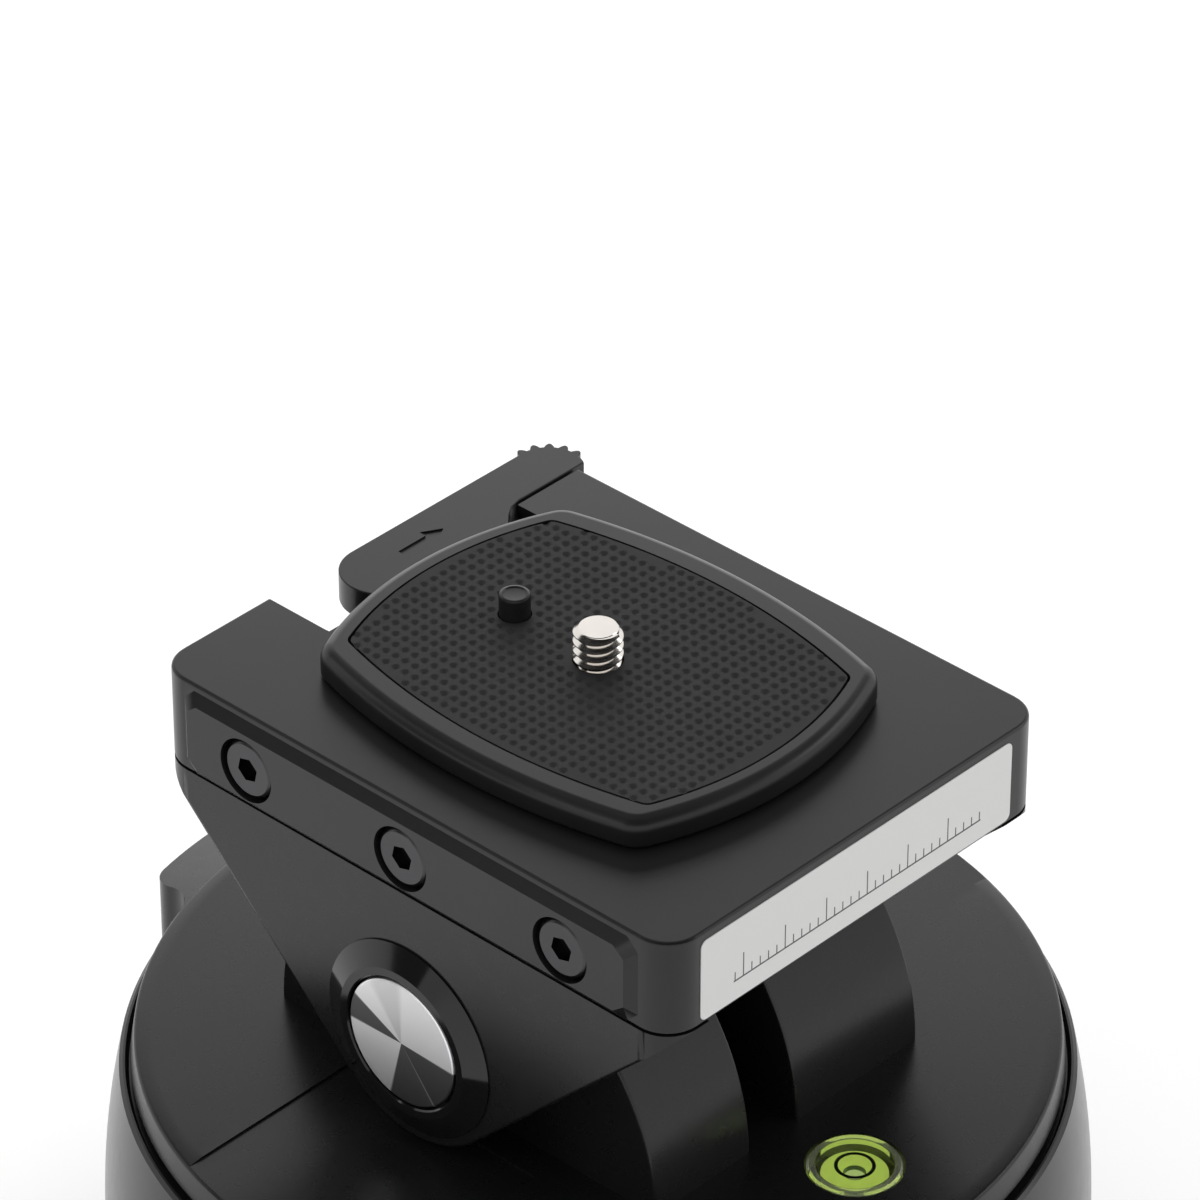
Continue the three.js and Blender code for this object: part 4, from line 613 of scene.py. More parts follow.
belly_z = (LEDGE_Z + BARREL_LOW) / 2
belly_rise = BELLY_RADIUS - LEDGE_RADIUS
belly_arc = (((LEDGE_Z - BARREL_LOW) / 2) ** 2 + belly_rise ** 2) / (2 * belly_rise)
belly_foot = BARREL_LOW + BARREL_EDGE
belly = []
for i in range(BELLY_STEPS + 1):
    z = belly_foot + (LEDGE_Z - LEDGE_EDGE - belly_foot) * i / BELLY_STEPS
    bulge = math.sqrt(belly_arc ** 2 - (z - belly_z) ** 2)
    belly.append((BELLY_RADIUS - belly_arc + bulge, z))
barrel_inner = LEDGE_RADIUS - BARREL_WALL
barrel = turned("barrel_moulding", [
    (HUB_RADIUS + SEAT, BARREL_LOW),
    (LEDGE_RADIUS - BARREL_EDGE, BARREL_LOW),
    (LEDGE_RADIUS - EDGE_MIDWAY * BARREL_EDGE, BARREL_LOW + EDGE_MIDWAY * BARREL_EDGE),
    *belly,
    (LEDGE_RADIUS - LEDGE_EDGE, LEDGE_Z),
    (LEDGE_RADIUS - LEDGE_FLAT, LEDGE_Z),
    (LEDGE_RADIUS - GROOVE_OUTER, LEDGE_Z - LEDGE_GROOVE),
    (LIP_OUTER, LEDGE_Z - LEDGE_GROOVE),
    (LIP_OUTER, LIP_TOP),
    (LIP_INNER, LIP_TOP),
    (LIP_INNER, LEDGE_Z - BARREL_WALL),
    (barrel_inner, LEDGE_Z - BARREL_WALL - (barrel_inner - LIP_INNER)),
    (barrel_inner, FLOOR_TOP),
    (HUB_RADIUS + SEAT, FLOOR_TOP),
], steps=WIDE_STEPS)
cut(barrel, prism("bay", block_outline(SEAT, barrel_inner), BARREL_LOW - OVER, LIP_TOP + OVER))
barrel_black = moulded("barrel_black", 0.008, 0.011, 0.24, 0.14, 0.002)
place_piece(smooth(barrel), barrel_black, "turret", "black_shell", "barrel_shell")

# Cover: a shallow black cap with two half drums either side of the gear slot, a clearance
# pocket under each arm, and a deep block at the rear that carries the switch and the socket.
# It is one satin moulding.
DISC_TOP = 62
COVER_WALL = 2.4
SKIRT_LOW = 57.8
SKIRT_FLARE = 0.5
SKIRT_EDGE = 0.3
ROLL_WIDTH = 2.4
ROLL_DROP = 0.25
EDGE_ROUND = 0.6
DRUM_RADIUS = 33
DRUM_WALL = 2.5
DRUM_EDGE = 0.5
DRUM_SPANS = ((-24.7, -7.1), (1.5, 24.7))
BLOCK_WALL = 2
BLOCK_DROP = 1.8
SLOPE_MORE = 0.2
POCKET_INNER_X = 29.3
POCKET_HALF_WIDTH = 16.6
POCKET_DEPTH = 0.3
AXLE_Z = 78
AXLE_WAY_RADIUS = 4.7
AXLE_WAY_REACH = 30
BUSH_WAY_RADIUS = 6.9
BUSH_WAY_SPAN = (21.2, 25.7)
GEAR_CLEAR = 0.7
GEAR_OPENING = 23.5
LEVEL_RADIUS = 6.1
PORT_Z = 46
PORT_CUT = (63, 69)
# The slot's left and right ends, and half its height.
SWITCH_SLOT = (-9.6, -2.4, 1.7)
LIGHT_WAY_RADIUS = 1.8
SOCKET_CORNER = 2.1
SUNK = 0.02
TOUCH = 0.01
axle_centre = (0, 0, AXLE_Z)
gear_low, gear_high = extent("tilt_sector_gear")
level_low, level_high = extent("level_cup")
socket_low, socket_high = extent("charge_socket")
light_low, light_high = extent("status_light")
level_centre = (0, (level_low.y + level_high.y) / 2, 0)
light_x = (light_low.x + light_high.x) / 2


def box(name, low, high):
    """A block between two corners."""
    corners = [(low[0], low[1]), (high[0], low[1]), (high[0], high[1]), (low[0], high[1])]
    return prism(name, corners, low[2], high[2])


def rod(name, radius, low, high, centre, axis="Z", steps=FINE):
    """A round bar along an axis, from low to high."""
    return turned(name, [(0, low), (radius, low), (radius, high), (0, high)], centre, axis, steps)


def open_on(piece, kind, elements, chosen):
    """Opens a piece in edit mode, with just those of its edges or faces selected."""
    only(piece)
    bpy.ops.object.mode_set(mode="EDIT")
    bpy.ops.mesh.select_mode(type=kind)
    bpy.ops.mesh.select_all(action="DESELECT")
    bpy.ops.object.mode_set(mode="OBJECT")
    for element in getattr(piece.data, elements):
        element.select = bool(chosen(element))
    bpy.ops.object.mode_set(mode="EDIT")


def leave_edit():
    bpy.ops.mesh.select_mode(type="VERT")
    bpy.ops.object.mode_set(mode="OBJECT")


def bevel_edges(piece, chosen, offset, segments=3):
    """Bevels the edges whose two ends, in millimetres, the chooser accepts."""
    open_on(piece, "EDGE", "edges", lambda edge: chosen(
        *(piece.data.vertices[i].co / MM for i in edge.vertices)))
    bpy.ops.mesh.bevel(offset=offset * MM, segments=segments, affect="EDGES")
    leave_edit()


def flat_at(axis, value):
    """Chooses the edges that lie in the plane at a value along an axis."""
    return lambda a, b: abs(a[axis] - value) < TOUCH and abs(b[axis] - value) < TOUCH


def ends(side, near, far):
    """The two ends of a length along X on one side, lowest first."""
    return sorted((side * near, side * far))


def half_disc(radius, low, steps):
    """A half circle that stands on the disc's top, with its ends brought down to low."""
    return [(radius, low), *arc((0, DISC_TOP), radius, 0, math.pi, steps), (-radius, low)]


def rounded(left, low, right, high, corner, steps=10):
    """A rectangle with rounded corners."""
    return [
        *arc((right - corner, low + corner), corner, -math.pi / 2, 0, steps),
        *arc((right - corner, high - corner), corner, 0, math.pi / 2, steps),
        *arc((left + corner, high - corner), corner, math.pi / 2, math.pi, steps),
        *arc((left + corner, low + corner), corner, math.pi, 1.5 * math.pi, steps),
    ]


ceiling = DISC_TOP - COVER_WALL
cover_inner = COVER_RADIUS - COVER_WALL
cover_outer = COVER_RADIUS + SKIRT_FLARE
round_at = (COVER_RADIUS - EDGE_ROUND, DISC_TOP - ROLL_DROP - EDGE_ROUND)
cover = turned("cover_moulding", [
    (0, DISC_TOP),
    (COVER_RADIUS - ROLL_WIDTH, DISC_TOP),
    *arc(round_at, EDGE_ROUND, math.pi / 2, 0, 6),
    (cover_outer, SKIRT_LOW + SKIRT_EDGE),
    (cover_outer - SKIRT_EDGE, SKIRT_LOW),
    (cover_inner, SKIRT_LOW),
    (cover_inner, ceiling),
    (0, ceiling),
], steps=WIDE_STEPS)
block = prism("rear_block", block_outline(0, cover_inner - OVER), BARREL_LOW, DISC_TOP + OVER)
slope = turned("slope", [
    (cover_inner - 2 * OVER, DISC_TOP - SUNK),
    (COVER_RADIUS - ROLL_WIDTH, DISC_TOP - SUNK),
    (BLOCK_RADIUS + OVER, DISC_TOP - BLOCK_DROP - SLOPE_MORE),
    (BLOCK_RADIUS + OVER, DISC_TOP + 2 * OVER),
    (cover_inner - 2 * OVER, DISC_TOP + 2 * OVER),
], steps=WIDE_STEPS)
hollow = prism("hollow", block_outline(-BLOCK_WALL, cover_inner - 3 * OVER),
               BARREL_LOW + BLOCK_WALL, ceiling - BLOCK_DROP / 2)
combine(cover, cut(block, slope, hollow), "UNION")
for left, right in DRUM_SPANS:
    drum = prism("drum", half_disc(DRUM_RADIUS, ceiling, 72), left, right, "X")
    bevel_edges(
        drum, lambda a, b: abs(a.x - b.x) < TOUCH and min(a.z, b.z) > ceiling + 10 * TOUCH,
        DRUM_EDGE, 2)
    combine(cover, drum, "UNION")
drum_room = half_disc(DRUM_RADIUS - DRUM_WALL, ceiling - OVER, 48)
for left, right in DRUM_SPANS:
    cut(cover, prism("drum_room", drum_room, left + DRUM_WALL, right - DRUM_WALL, "X"))
cut(cover, box(
    "gear_opening", (gear_low.x - GEAR_CLEAR, -GEAR_OPENING, ceiling - OVER),
    (gear_high.x + GEAR_CLEAR, GEAR_OPENING, DISC_TOP + OVER)))
cut(cover, rod("axle_way", AXLE_WAY_RADIUS, -AXLE_WAY_REACH, AXLE_WAY_REACH, axle_centre, "X", 48))
for side in (-1, 1):
    pocket_near, pocket_far = ends(side, POCKET_INNER_X, COVER_RADIUS + OVER)
    pocket = box("pocket", (pocket_near, -POCKET_HALF_WIDTH, DISC_TOP - POCKET_DEPTH),
                 (pocket_far, POCKET_HALF_WIDTH, DISC_TOP + OVER))
    bush_way = rod("bush_way", BUSH_WAY_RADIUS, *ends(side, *BUSH_WAY_SPAN), axle_centre, "X", 48)
    cut(cover, pocket, bush_way)
slot_left, slot_right, slot_half = SWITCH_SLOT
socket_way = rounded(socket_low.x - SEAT, socket_low.z - SEAT, socket_high.x + SEAT,
                     socket_high.z + SEAT, SOCKET_CORNER + SEAT)
cut(
    cover,
    rod("level_way", LEVEL_RADIUS + SEAT, ceiling - OVER, DISC_TOP + OVER, level_centre),
    box("switch_way", (slot_left, PORT_CUT[0], PORT_Z - slot_half),
        (slot_right, PORT_CUT[1], PORT_Z + slot_half)),
    rod("light_way", LIGHT_WAY_RADIUS, *PORT_CUT, (light_x, 0, PORT_Z), "Y", 32),
    prism("socket_way", socket_way, *PORT_CUT, "Y"))
shell_black = moulded("shell_black", 0.006, 0.009, 0.28, 0.16, 0.003)
place_piece(smooth(cover), shell_black, "turret", "black_shell", "turntable_cover")

# Bubble level: a clear acrylic pot let into the cover, filled with lime fluid under a flat
# window that has one printed ring, with a round bubble. The fluid and the bubble glow with
# painted light, and a dark ring round the bubble is painted shade.
RING_RADIUS = 2.4
RING_WIRE = 0.24
RING_DEEP = 0.6
RING_THICK = 0.06
BUBBLE_RADIUS = 1.45
BUBBLE_DEEP = 1.3
BUBBLE_WALL = 0.1
BUBBLE_GAP = 0.05
BUBBLE_INSET = 0.15
VIAL_RADIUS = 4.33
VIAL_TOP = 59.4
VIAL_FLOOR = 0.8
POT_EDGE = 0.3
WINDOW_GAP = 0.12
WINDOW_BED = 0.1
WINDOW_SUNK = 0.05
ACRYLIC_IOR = 1.49
TINT_SHADE = 0.9
TINT_SIZE = 2
HAZE = 0.02
HAZE_SIZE = 0.6


def tinted(name, colour, roughness, transmission, glow=0.0, ior=1.45):
    """Clear or coloured plastic or fluid, with faint haze, and a painted glow in its own colour
    where glow is above 0.
    """
    material, start = new_material(name)
    place = object_place(start)
    shade = tuple(TINT_SHADE * c for c in colour)
    finished(start, {
        "Base Color": noise(place, TINT_SIZE).mix((*shade, 1), (*colour, 1)),
        "Roughness": roughness + HAZE * noise(place, HAZE_SIZE),
        "Transmission Weight": transmission,
        "IOR": ior,
        "Emission Color": (*colour, 1),
        "Emission Strength": glow,
    })
    return material


pot_clear = tinted("pot_clear", (0.95, 0.99, 0.88), 0.02, 0.9, ior=ACRYLIC_IOR)
glass_clear = tinted("glass_clear", (0.97, 1, 0.92), 0.02, 1.0, ior=ACRYLIC_IOR)
# The fluid and the bubble glow with painted light: their own colour, emitted at half strength.
fluid_lime_painted_glow = tinted("fluid_lime_painted_glow", (0.76, 0.95, 0.2), 0.3, 0.0, 0.5)
ring_green = tinted("ring_green", (0.004, 0.01, 0.004), 0.4, 0.0)
bubble_pale_painted_glow = tinted("bubble_pale_painted_glow", (0.82, 0.98, 0.4), 0.2, 0.0, 0.5)
bubble_edge_painted_shade = tinted("bubble_edge_painted_shade", (0.02, 0.12, 0.02), 0.3, 0.0)
window_low, window_high = extent("level_window")
well_radius = window_high.x + WINDOW_GAP
well_low = window_low.z - WINDOW_BED
pot = turned("level_pot", [
    (0, level_low.z), (LEVEL_RADIUS, level_low.z), (LEVEL_RADIUS, level_high.z - POT_EDGE),
    (LEVEL_RADIUS - POT_EDGE, level_high.z), (well_radius, level_high.z),
    (well_radius, well_low), (0, well_low),
], level_centre)
place_piece(smooth(pot), pot_clear, "turret", "clear_acrylic", "level_cup")
vial_low = level_low.z + VIAL_FLOOR
bubble_low = VIAL_TOP - BUBBLE_DEEP
fluid = turned("level_fluid_body", [
    (0, vial_low), (VIAL_RADIUS, vial_low), (VIAL_RADIUS, VIAL_TOP),
    (BUBBLE_RADIUS + BUBBLE_GAP, VIAL_TOP), (BUBBLE_RADIUS + BUBBLE_GAP, bubble_low),
    (0, bubble_low),
], level_centre)
place_piece(smooth(fluid), fluid_lime_painted_glow, "turret", "level_green", "level_fluid")
window = rod("level_glass", window_high.x, window_low.z, window_high.z - WINDOW_SUNK, level_centre)
place_piece(smooth(window), glass_clear, "turret", "clear_acrylic", "level_window")
print_low = window_high.z - RING_DEEP
ring_print = turned("level_ring", [
    (RING_RADIUS - RING_WIRE, print_low), (RING_RADIUS + RING_WIRE, print_low),
    (RING_RADIUS + RING_WIRE, print_low + RING_THICK),
    (RING_RADIUS - RING_WIRE, print_low + RING_THICK)], level_centre)
place_piece(ring_print, ring_green, "turret", "level_green")
# The bubble's dark edge is painted shade: a thin dark green ring stands round the bubble.
bubble_wall = turned("level_bubble_wall", [
    (BUBBLE_RADIUS - BUBBLE_WALL, bubble_low + SUNK), (BUBBLE_RADIUS, bubble_low + SUNK),
    (BUBBLE_RADIUS, VIAL_TOP - SUNK), (BUBBLE_RADIUS - BUBBLE_WALL, VIAL_TOP - SUNK),
], level_centre, steps=64)
place_piece(smooth(bubble_wall), bubble_edge_painted_shade, "turret", "level_green")
bubble = rod("level_bubble", BUBBLE_RADIUS - BUBBLE_INSET, bubble_low + SUNK,
             bubble_low + BUBBLE_WALL, level_centre, steps=64)
place_piece(bubble, bubble_pale_painted_glow, "turret", "level_green")

# Drives and electronics inside the turret: zinc-plated motors on steel brackets, brass
# pinions, a wrapped pair of cells and a green board. The toothed sector shows in the slot.
AXLE_RADIUS = 4
AXLE_CHAMFER = 0.6


def coated(name, dark, light, roughness, patch, grain, relief):
    """Coloured film or lacquer, with a faint mottle and fine relief."""
    material, start = new_material(name)
    place = object_place(start)
    finished(start, {
        "Base Color": noise(place, patch).mix((*dark, 1), (*light, 1)),
        "Roughness": roughness,
    }, noise(place, grain), relief)
    return material


zinc = metal("zinc", (0.55, 0.56, 0.58), 0.34, 0.4, 0.003)
black_nylon = moulded("black_nylon", 0.014, 0.02, 0.4, 0.2, 0.004)
cell_wrap = coated("cell_wrap", (0.03, 0.11, 0.3), (0.04, 0.15, 0.38), 0.35, 4, 1.5, 0.02)
board_green = coated("board_paint", (0.01, 0.09, 0.03), (0.02, 0.16, 0.06), 0.4, 1.8, 0.8, 0.01)
INNER_FINISHES = {
    "pan_motor": zinc, "tilt_motor": zinc,
    "pan_motor_bracket": steel, "tilt_motor_bracket": steel,
    "pan_pinion": brass, "tilt_pinion": brass,
    "axle_bush_left": brass, "axle_bush_right": brass,
    "battery_pack": cell_wrap, "main_board": board_green, "switch_body": steel,
    "platform_floor": black_metal, "tilt_sector_gear": black_nylon,
    "lever_pin": steel, "pin_plug": black_nylon,
}
for node, material in INNER_FINISHES.items():
    paint(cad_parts[node], material)
axle_low, axle_high = extent("tilt_axle")
axle = turned("axle_bar", [
    (0, axle_low.x), (AXLE_RADIUS - AXLE_CHAMFER, axle_low.x),
    (AXLE_RADIUS, axle_low.x + AXLE_CHAMFER), (AXLE_RADIUS, axle_high.x - AXLE_CHAMFER),
    (AXLE_RADIUS - AXLE_CHAMFER, axle_high.x), (0, axle_high.x)], axle_centre, "X", 64)
place_piece(smooth(axle), steel, "platform", "steel", "tilt_axle")

# Ports on the rear block: a rounded charging socket with its tongue, a ribbed slide switch
# and a small domed light.
SOCKET_WALL = 0.6
SOCKET_DEPTH = 6
TONGUE_HALF_WIDTH = 3.2
TONGUE_HALF_THICK = 0.35
# How far back from the mouth the tongue starts and ends.
TONGUE_SPAN = (6.1, 1.2)
TONGUE_EDGE = 0.15
KNOB_RIBS = 4
KNOB_RIB_HALF = 0.2
KNOB_RIB_DEEP = 0.8
KNOB_RIB_PROUD = 0.35
LIGHT_RADIUS = 1.5
LIGHT_SHOULDER = 0.5
LIGHT_DOME = (1.2, 0.12)
socket_outer = rounded(socket_low.x, socket_low.z, socket_high.x, socket_high.z, SOCKET_CORNER)
socket = prism("socket_shell", socket_outer, socket_low.y, socket_high.y, "Y")
socket_mouth = rounded(
    socket_low.x + SOCKET_WALL, socket_low.z + SOCKET_WALL, socket_high.x - SOCKET_WALL,
    socket_high.z - SOCKET_WALL, SOCKET_CORNER - SOCKET_WALL)
cut(socket, prism("mouth", socket_mouth, socket_high.y - SOCKET_DEPTH, socket_high.y + OVER, "Y"))
place_piece(smooth(socket), zinc, "turret", "steel", "charge_socket")
socket_z = (socket_low.z + socket_high.z) / 2
tongue_root, tongue_tip = (socket_high.y - back for back in TONGUE_SPAN)
tongue = box("socket_tongue", (-TONGUE_HALF_WIDTH, tongue_root, socket_z - TONGUE_HALF_THICK),
             (TONGUE_HALF_WIDTH, tongue_tip, socket_z + TONGUE_HALF_THICK))
bevel_edges(tongue, flat_at(1, tongue_tip), TONGUE_EDGE, 2)
place_piece(tongue, black_nylon, "turret", "black_satin")
black_satin = moulded("black_satin", 0.008, 0.012, 0.33, 0.18, 0.003)
knob_low, knob_high = extent("power_switch")
knob = box("switch_knob", knob_low, (knob_high.x, knob_high.y - KNOB_RIB_PROUD, knob_high.z))
for i in range(KNOB_RIBS):
    rib_x = knob_low.x + (i + 0.5) * (knob_high.x - knob_low.x) / KNOB_RIBS
    rib = box("rib", (rib_x - KNOB_RIB_HALF, knob_high.y - KNOB_RIB_DEEP, knob_low.z),
              (rib_x + KNOB_RIB_HALF, knob_high.y, knob_high.z))
    combine(knob, rib, "UNION")
place_piece(knob, black_satin, "power_switch", "black_satin", "power_switch")
light_clear = tinted("light_clear", (0.9, 0.9, 0.88), 0.15, 0.6)
light = turned("light_pipe", [
    (0, light_low.y), (LIGHT_RADIUS, light_low.y), (LIGHT_RADIUS, light_high.y - LIGHT_SHOULDER),
    (LIGHT_DOME[0], light_high.y - LIGHT_DOME[1]), (0, light_high.y)],
    (light_x, 0, PORT_Z), "Y", 40)
place_piece(smooth(light, 60), light_clear, "turret", "clear_acrylic", "status_light")

# Tilt arms: two black castings that hang from the platform's sides, flush with them, and
# narrow to a round hub on the axle. Each outer face has a shallow seat for the hub ring.
HOUSING_HALF_X = 34.4
HOUSING_HALF_Y = 44.1
HOUSING_CORNER = 4.9
PLATFORM_Z = 100.1
ARM_THICK = 7.1
ARM_HUB_RADIUS = 15.4
ARM_EDGE = 0.45
ARM_EDGE_TOP = 0.5
HUB_SEAT_DEPTH = 0.8
HUB_SEAT_RADIUS = 12.1
INNER_HUB_RADIUS = 11
INNER_HUB_FACE = 25.4
AXLE_BORE_RADIUS = 4.3
AXLE_BORE_SPAN = (20, 32.3)
arm_rise = PLATFORM_Z - AXLE_Z
arm_reach = math.hypot(HOUSING_HALF_Y, arm_rise)
arm_angle = math.atan2(arm_rise, HOUSING_HALF_Y) - math.acos(ARM_HUB_RADIUS / arm_reach)
arm_outline = [
    (HOUSING_HALF_Y, PLATFORM_Z),
    (-HOUSING_HALF_Y, PLATFORM_Z),
    *arc((0, AXLE_Z), ARM_HUB_RADIUS, -math.pi - arm_angle, arm_angle, 48),
]
housing_outline = rounded(
    -HOUSING_HALF_X, -HOUSING_HALF_Y, HOUSING_HALF_X, HOUSING_HALF_Y, HOUSING_CORNER)
arm_inner = HOUSING_HALF_X - ARM_THICK
for side, word in ((1, "right"), (-1, "left")):
    arm = prism(f"arm_{word}", arm_outline, *ends(side, arm_inner, HOUSING_HALF_X + OVER), "X")
    flank = prism("flank", housing_outline, AXLE_Z - 2 * ARM_HUB_RADIUS, PLATFORM_Z + OVER)
    combine(arm, flank, "INTERSECT")
    on_face = flat_at(0, side * HOUSING_HALF_X)
    bevel_edges(
        arm, lambda a, b: on_face(a, b) and min(a.z, b.z) < PLATFORM_Z - ARM_EDGE_TOP, ARM_EDGE)
    hub_ends = ends(side, INNER_HUB_FACE, arm_inner + OVER)
    combine(arm, rod("hub", INNER_HUB_RADIUS, *hub_ends, axle_centre, "X", 96), "UNION")
    seat_ends = ends(side, HOUSING_HALF_X - HUB_SEAT_DEPTH, HOUSING_HALF_X + OVER)
    cut(arm, rod("seat", HUB_SEAT_RADIUS, *seat_ends, axle_centre, "X", 96),
        rod("bore", AXLE_BORE_RADIUS, *ends(side, *AXLE_BORE_SPAN), axle_centre, "X", 48))
    place_piece(smooth(arm), shell_black, "platform", "black_metal", f"tilt_arm_{word}")

# Platform housing: a satin black box with rounded corners and a thin bright edge. Each side
# has a raised panel with three screw bores, the top has the plate's socket, and the rear
# right corner is cut down for the lever.
PLATFORM_TOP = 114.1
HOUSING_LOW = 100.45
HOUSING_BEVEL = 0.5
HOUSING_LOW_BEVEL = 0.25
PANEL_ROOT = 32
PANEL_FACE = 35.5
PANEL_HALF_Y = 38.9
PANEL_TOP = 113.2
PANEL_INSET = 1.4
PANEL_CORNER_CUT = 1.8
# Two corners of the room inside.
CAVITY = ((-31.6, -41.3, 99), (31.6, 31.2, 107.9))
# Left, front, right, rear and corner.
PLATE_SOCKET = (-19.8, -24.3, 19.8, 30.4, 2.3)
NOTCH_LEFT = -14.5
NOTCH_FRONT = 35.7
NOTCH_FLOOR = 103.5
NOTCH_CORNER = 2
NOTCH_ROOT = 31.6
NOTCH_STEP = (1.5, 5.5)
NOTCH_OUT = (45, 60)
# Left, front, right and rear of the cut for the lever's cam.
CAM_CUT = (-6.4, 30.1, 22.7, 43.8)
POST_TOP = 109.4
POST_RADIUS = 3.3
SPRING_WAY_RADIUS = 4.7
PIN_WAY_RADIUS = 2.3
PIN_WAY_SPAN = (105, 110)
SCREW_PLACES = (-27, 0, 27)
SCREW_Z = 106.4
SCREW_BORE_RADIUS = 4.5
SCREW_BORE_DEPTH = 2.8
PIVOT = (0.3, 38)
housing = prism("housing_shell", housing_outline, HOUSING_LOW, PLATFORM_TOP)
bevel_edges(housing, flat_at(2, PLATFORM_TOP), HOUSING_BEVEL)
bevel_edges(housing, flat_at(2, HOUSING_LOW), HOUSING_LOW_BEVEL, 2)
panel_low = HOUSING_LOW + SUNK
panel_middle = (PANEL_TOP + panel_low) / 2
panel_half_z = (PANEL_TOP - panel_low) / 2
panel_outline = rounded(-PANEL_HALF_Y, panel_low, PANEL_HALF_Y, PANEL_TOP, PANEL_CORNER_CUT, 1)
for side in (-1, 1):
    face = prism("panel", panel_outline, side * PANEL_ROOT, side * HOUSING_HALF_X, "X")
    open_on(face, "FACE", "polygons", lambda polygon: abs(
        polygon.center.x / MM - side * HOUSING_HALF_X) < TOUCH)
    bpy.ops.mesh.extrude_region_move(
        TRANSFORM_OT_translate={"value": (side * (PANEL_FACE - HOUSING_HALF_X) * MM, 0, 0)})
    bpy.ops.transform.resize(
        value=(1, 1 - PANEL_INSET / PANEL_HALF_Y, 1 - PANEL_INSET / panel_half_z),
        center_override=(0, 0, panel_middle * MM))
    leave_edit()
    combine(housing, close_up(face), "UNION")
plate_low = extent("quick_plate")[0]
notch_x, notch_y = NOTCH_OUT
notch_outline = [
    (notch_x, NOTCH_FRONT), (notch_x, notch_y), (NOTCH_LEFT, notch_y),
    *arc((NOTCH_LEFT + NOTCH_CORNER, NOTCH_ROOT + NOTCH_CORNER), NOTCH_CORNER,
         math.pi, 1.5 * math.pi, 8),
    (NOTCH_STEP[0], NOTCH_ROOT), (NOTCH_STEP[1], NOTCH_FRONT),
]
pivot_centre = (*PIVOT, 0)
above = PLATFORM_TOP + OVER
cut(
    housing,
    box("cavity", *CAVITY),
    prism("plate_socket", rounded(*PLATE_SOCKET), plate_low.z - SEAT, above),
    prism("notch", notch_outline, NOTCH_FLOOR, above),
    box("cam_cut", (*CAM_CUT[:2], POST_TOP), (*CAM_CUT[2:], above)),
    rod("spring_way", SPRING_WAY_RADIUS, NOTCH_FLOOR + SUNK, PLATFORM_TOP, pivot_centre, "Z", 64))
post = rod("post", POST_RADIUS, NOTCH_FLOOR - SEAT, POST_TOP, pivot_centre, "Z", 64)
combine(housing, post, "UNION")
cut(housing, rod("pin_way", PIN_WAY_RADIUS, *PIN_WAY_SPAN, pivot_centre, "Z", 48))
for side in (-1, 1):
    for y in SCREW_PLACES:
        bore_ends = ends(side, PANEL_FACE - SCREW_BORE_DEPTH, PANEL_FACE + OVER)
        cut(housing, rod("screw_bore", SCREW_BORE_RADIUS, *bore_ends, (0, y, SCREW_Z), "X", 64))
platform_black = moulded("platform_black", 0.008, 0.011, 0.3, 0.16, 0.003)
place_piece(smooth(housing, 25), platform_black, "platform", "black_metal", "platform_housing")

# Sticker: a thin white label on the housing's plain front face. It carries only a row of
# plain ticks, longer at every fifth.
STICKER_THICK = 0.12
STICKER_SUNK = 0.05
# Left, low, right, high and corner.
STICKER = (-29, 100.9, 28, 112.8, 1.0)
STICKER_WHITE = (0.78, 0.78, 0.77, 1)
INK = (0.06, 0.06, 0.06, 1)
TICK_PITCH = 1.5
TICK_WIDTH_SHARE = 0.13
TICK_FROM, TICK_TO = 3.9, 34.2
TICK_TOP = 4.2
FIFTH_TALLER = 2.2
RULE_LOW, RULE_HIGH = 2.75, 3.0
sticker = prism("front_sticker", rounded(*STICKER, 6),
                -HOUSING_HALF_Y - STICKER_THICK, -HOUSING_HALF_Y + STICKER_SUNK, "Y")
sticker_white, start = new_material("sticker_white")
place = object_place(start)
across = (place.part("X") / MM - STICKER[0]) / TICK_PITCH
height = place.part("Z") / MM - STICKER[1]
in_tick = across.math("FRACT") < TICK_WIDTH_SHARE
fifth = (across / 5).math("FRACT") < 1 / 5
margins = (across > TICK_FROM) * (across < TICK_TO)
mark = in_tick * margins * (height > RULE_HIGH) * (height < TICK_TOP + FIFTH_TALLER * fifth)
rule = margins * (height > RULE_LOW) * (height < RULE_HIGH)
finished(start, {
    "Base Color": mark.math("MAXIMUM", rule).mix(STICKER_WHITE, INK),
    "Roughness": 0.38 + 0.08 * noise(place, 1.5),
}, noise(place, 0.5), 0.002)
place_piece(smooth(sticker), sticker_white, "platform", None)

# Side screws: blackened socket head screws, sunk in the panels' bores. All six are turned
# to one profile, with a hexagon cut in the head.
SCREW_FACE = 35.2
SCREW_SEAT = 33.0
SHANK_RADIUS = 2
SHANK_TIP_RADIUS = 1.7
SHANK_END = 28.4
SHANK_TIP_TOP = 28.8
HEAD_RADIUS = 4.2
HEAD_BEVEL = 0.6
HEAD_SHOULDER = 0.5
HEAD_BREAK = (0.06, 0.4)
HEX_RADIUS = 1.75
HEX_TURN = math.radians(43)
HEX_DEPTH = 1.5
screw_black = metal("screw_black", (0.075, 0.075, 0.078), 0.3, 0.2, 0.002)


def turned_out(name, side, profile, centre, steps):
    """Spins a profile about a line along X, its lengths running outwards on the given side."""
    return turned(name, [(radius, side * along) for radius, along in profile], centre, "X", steps)


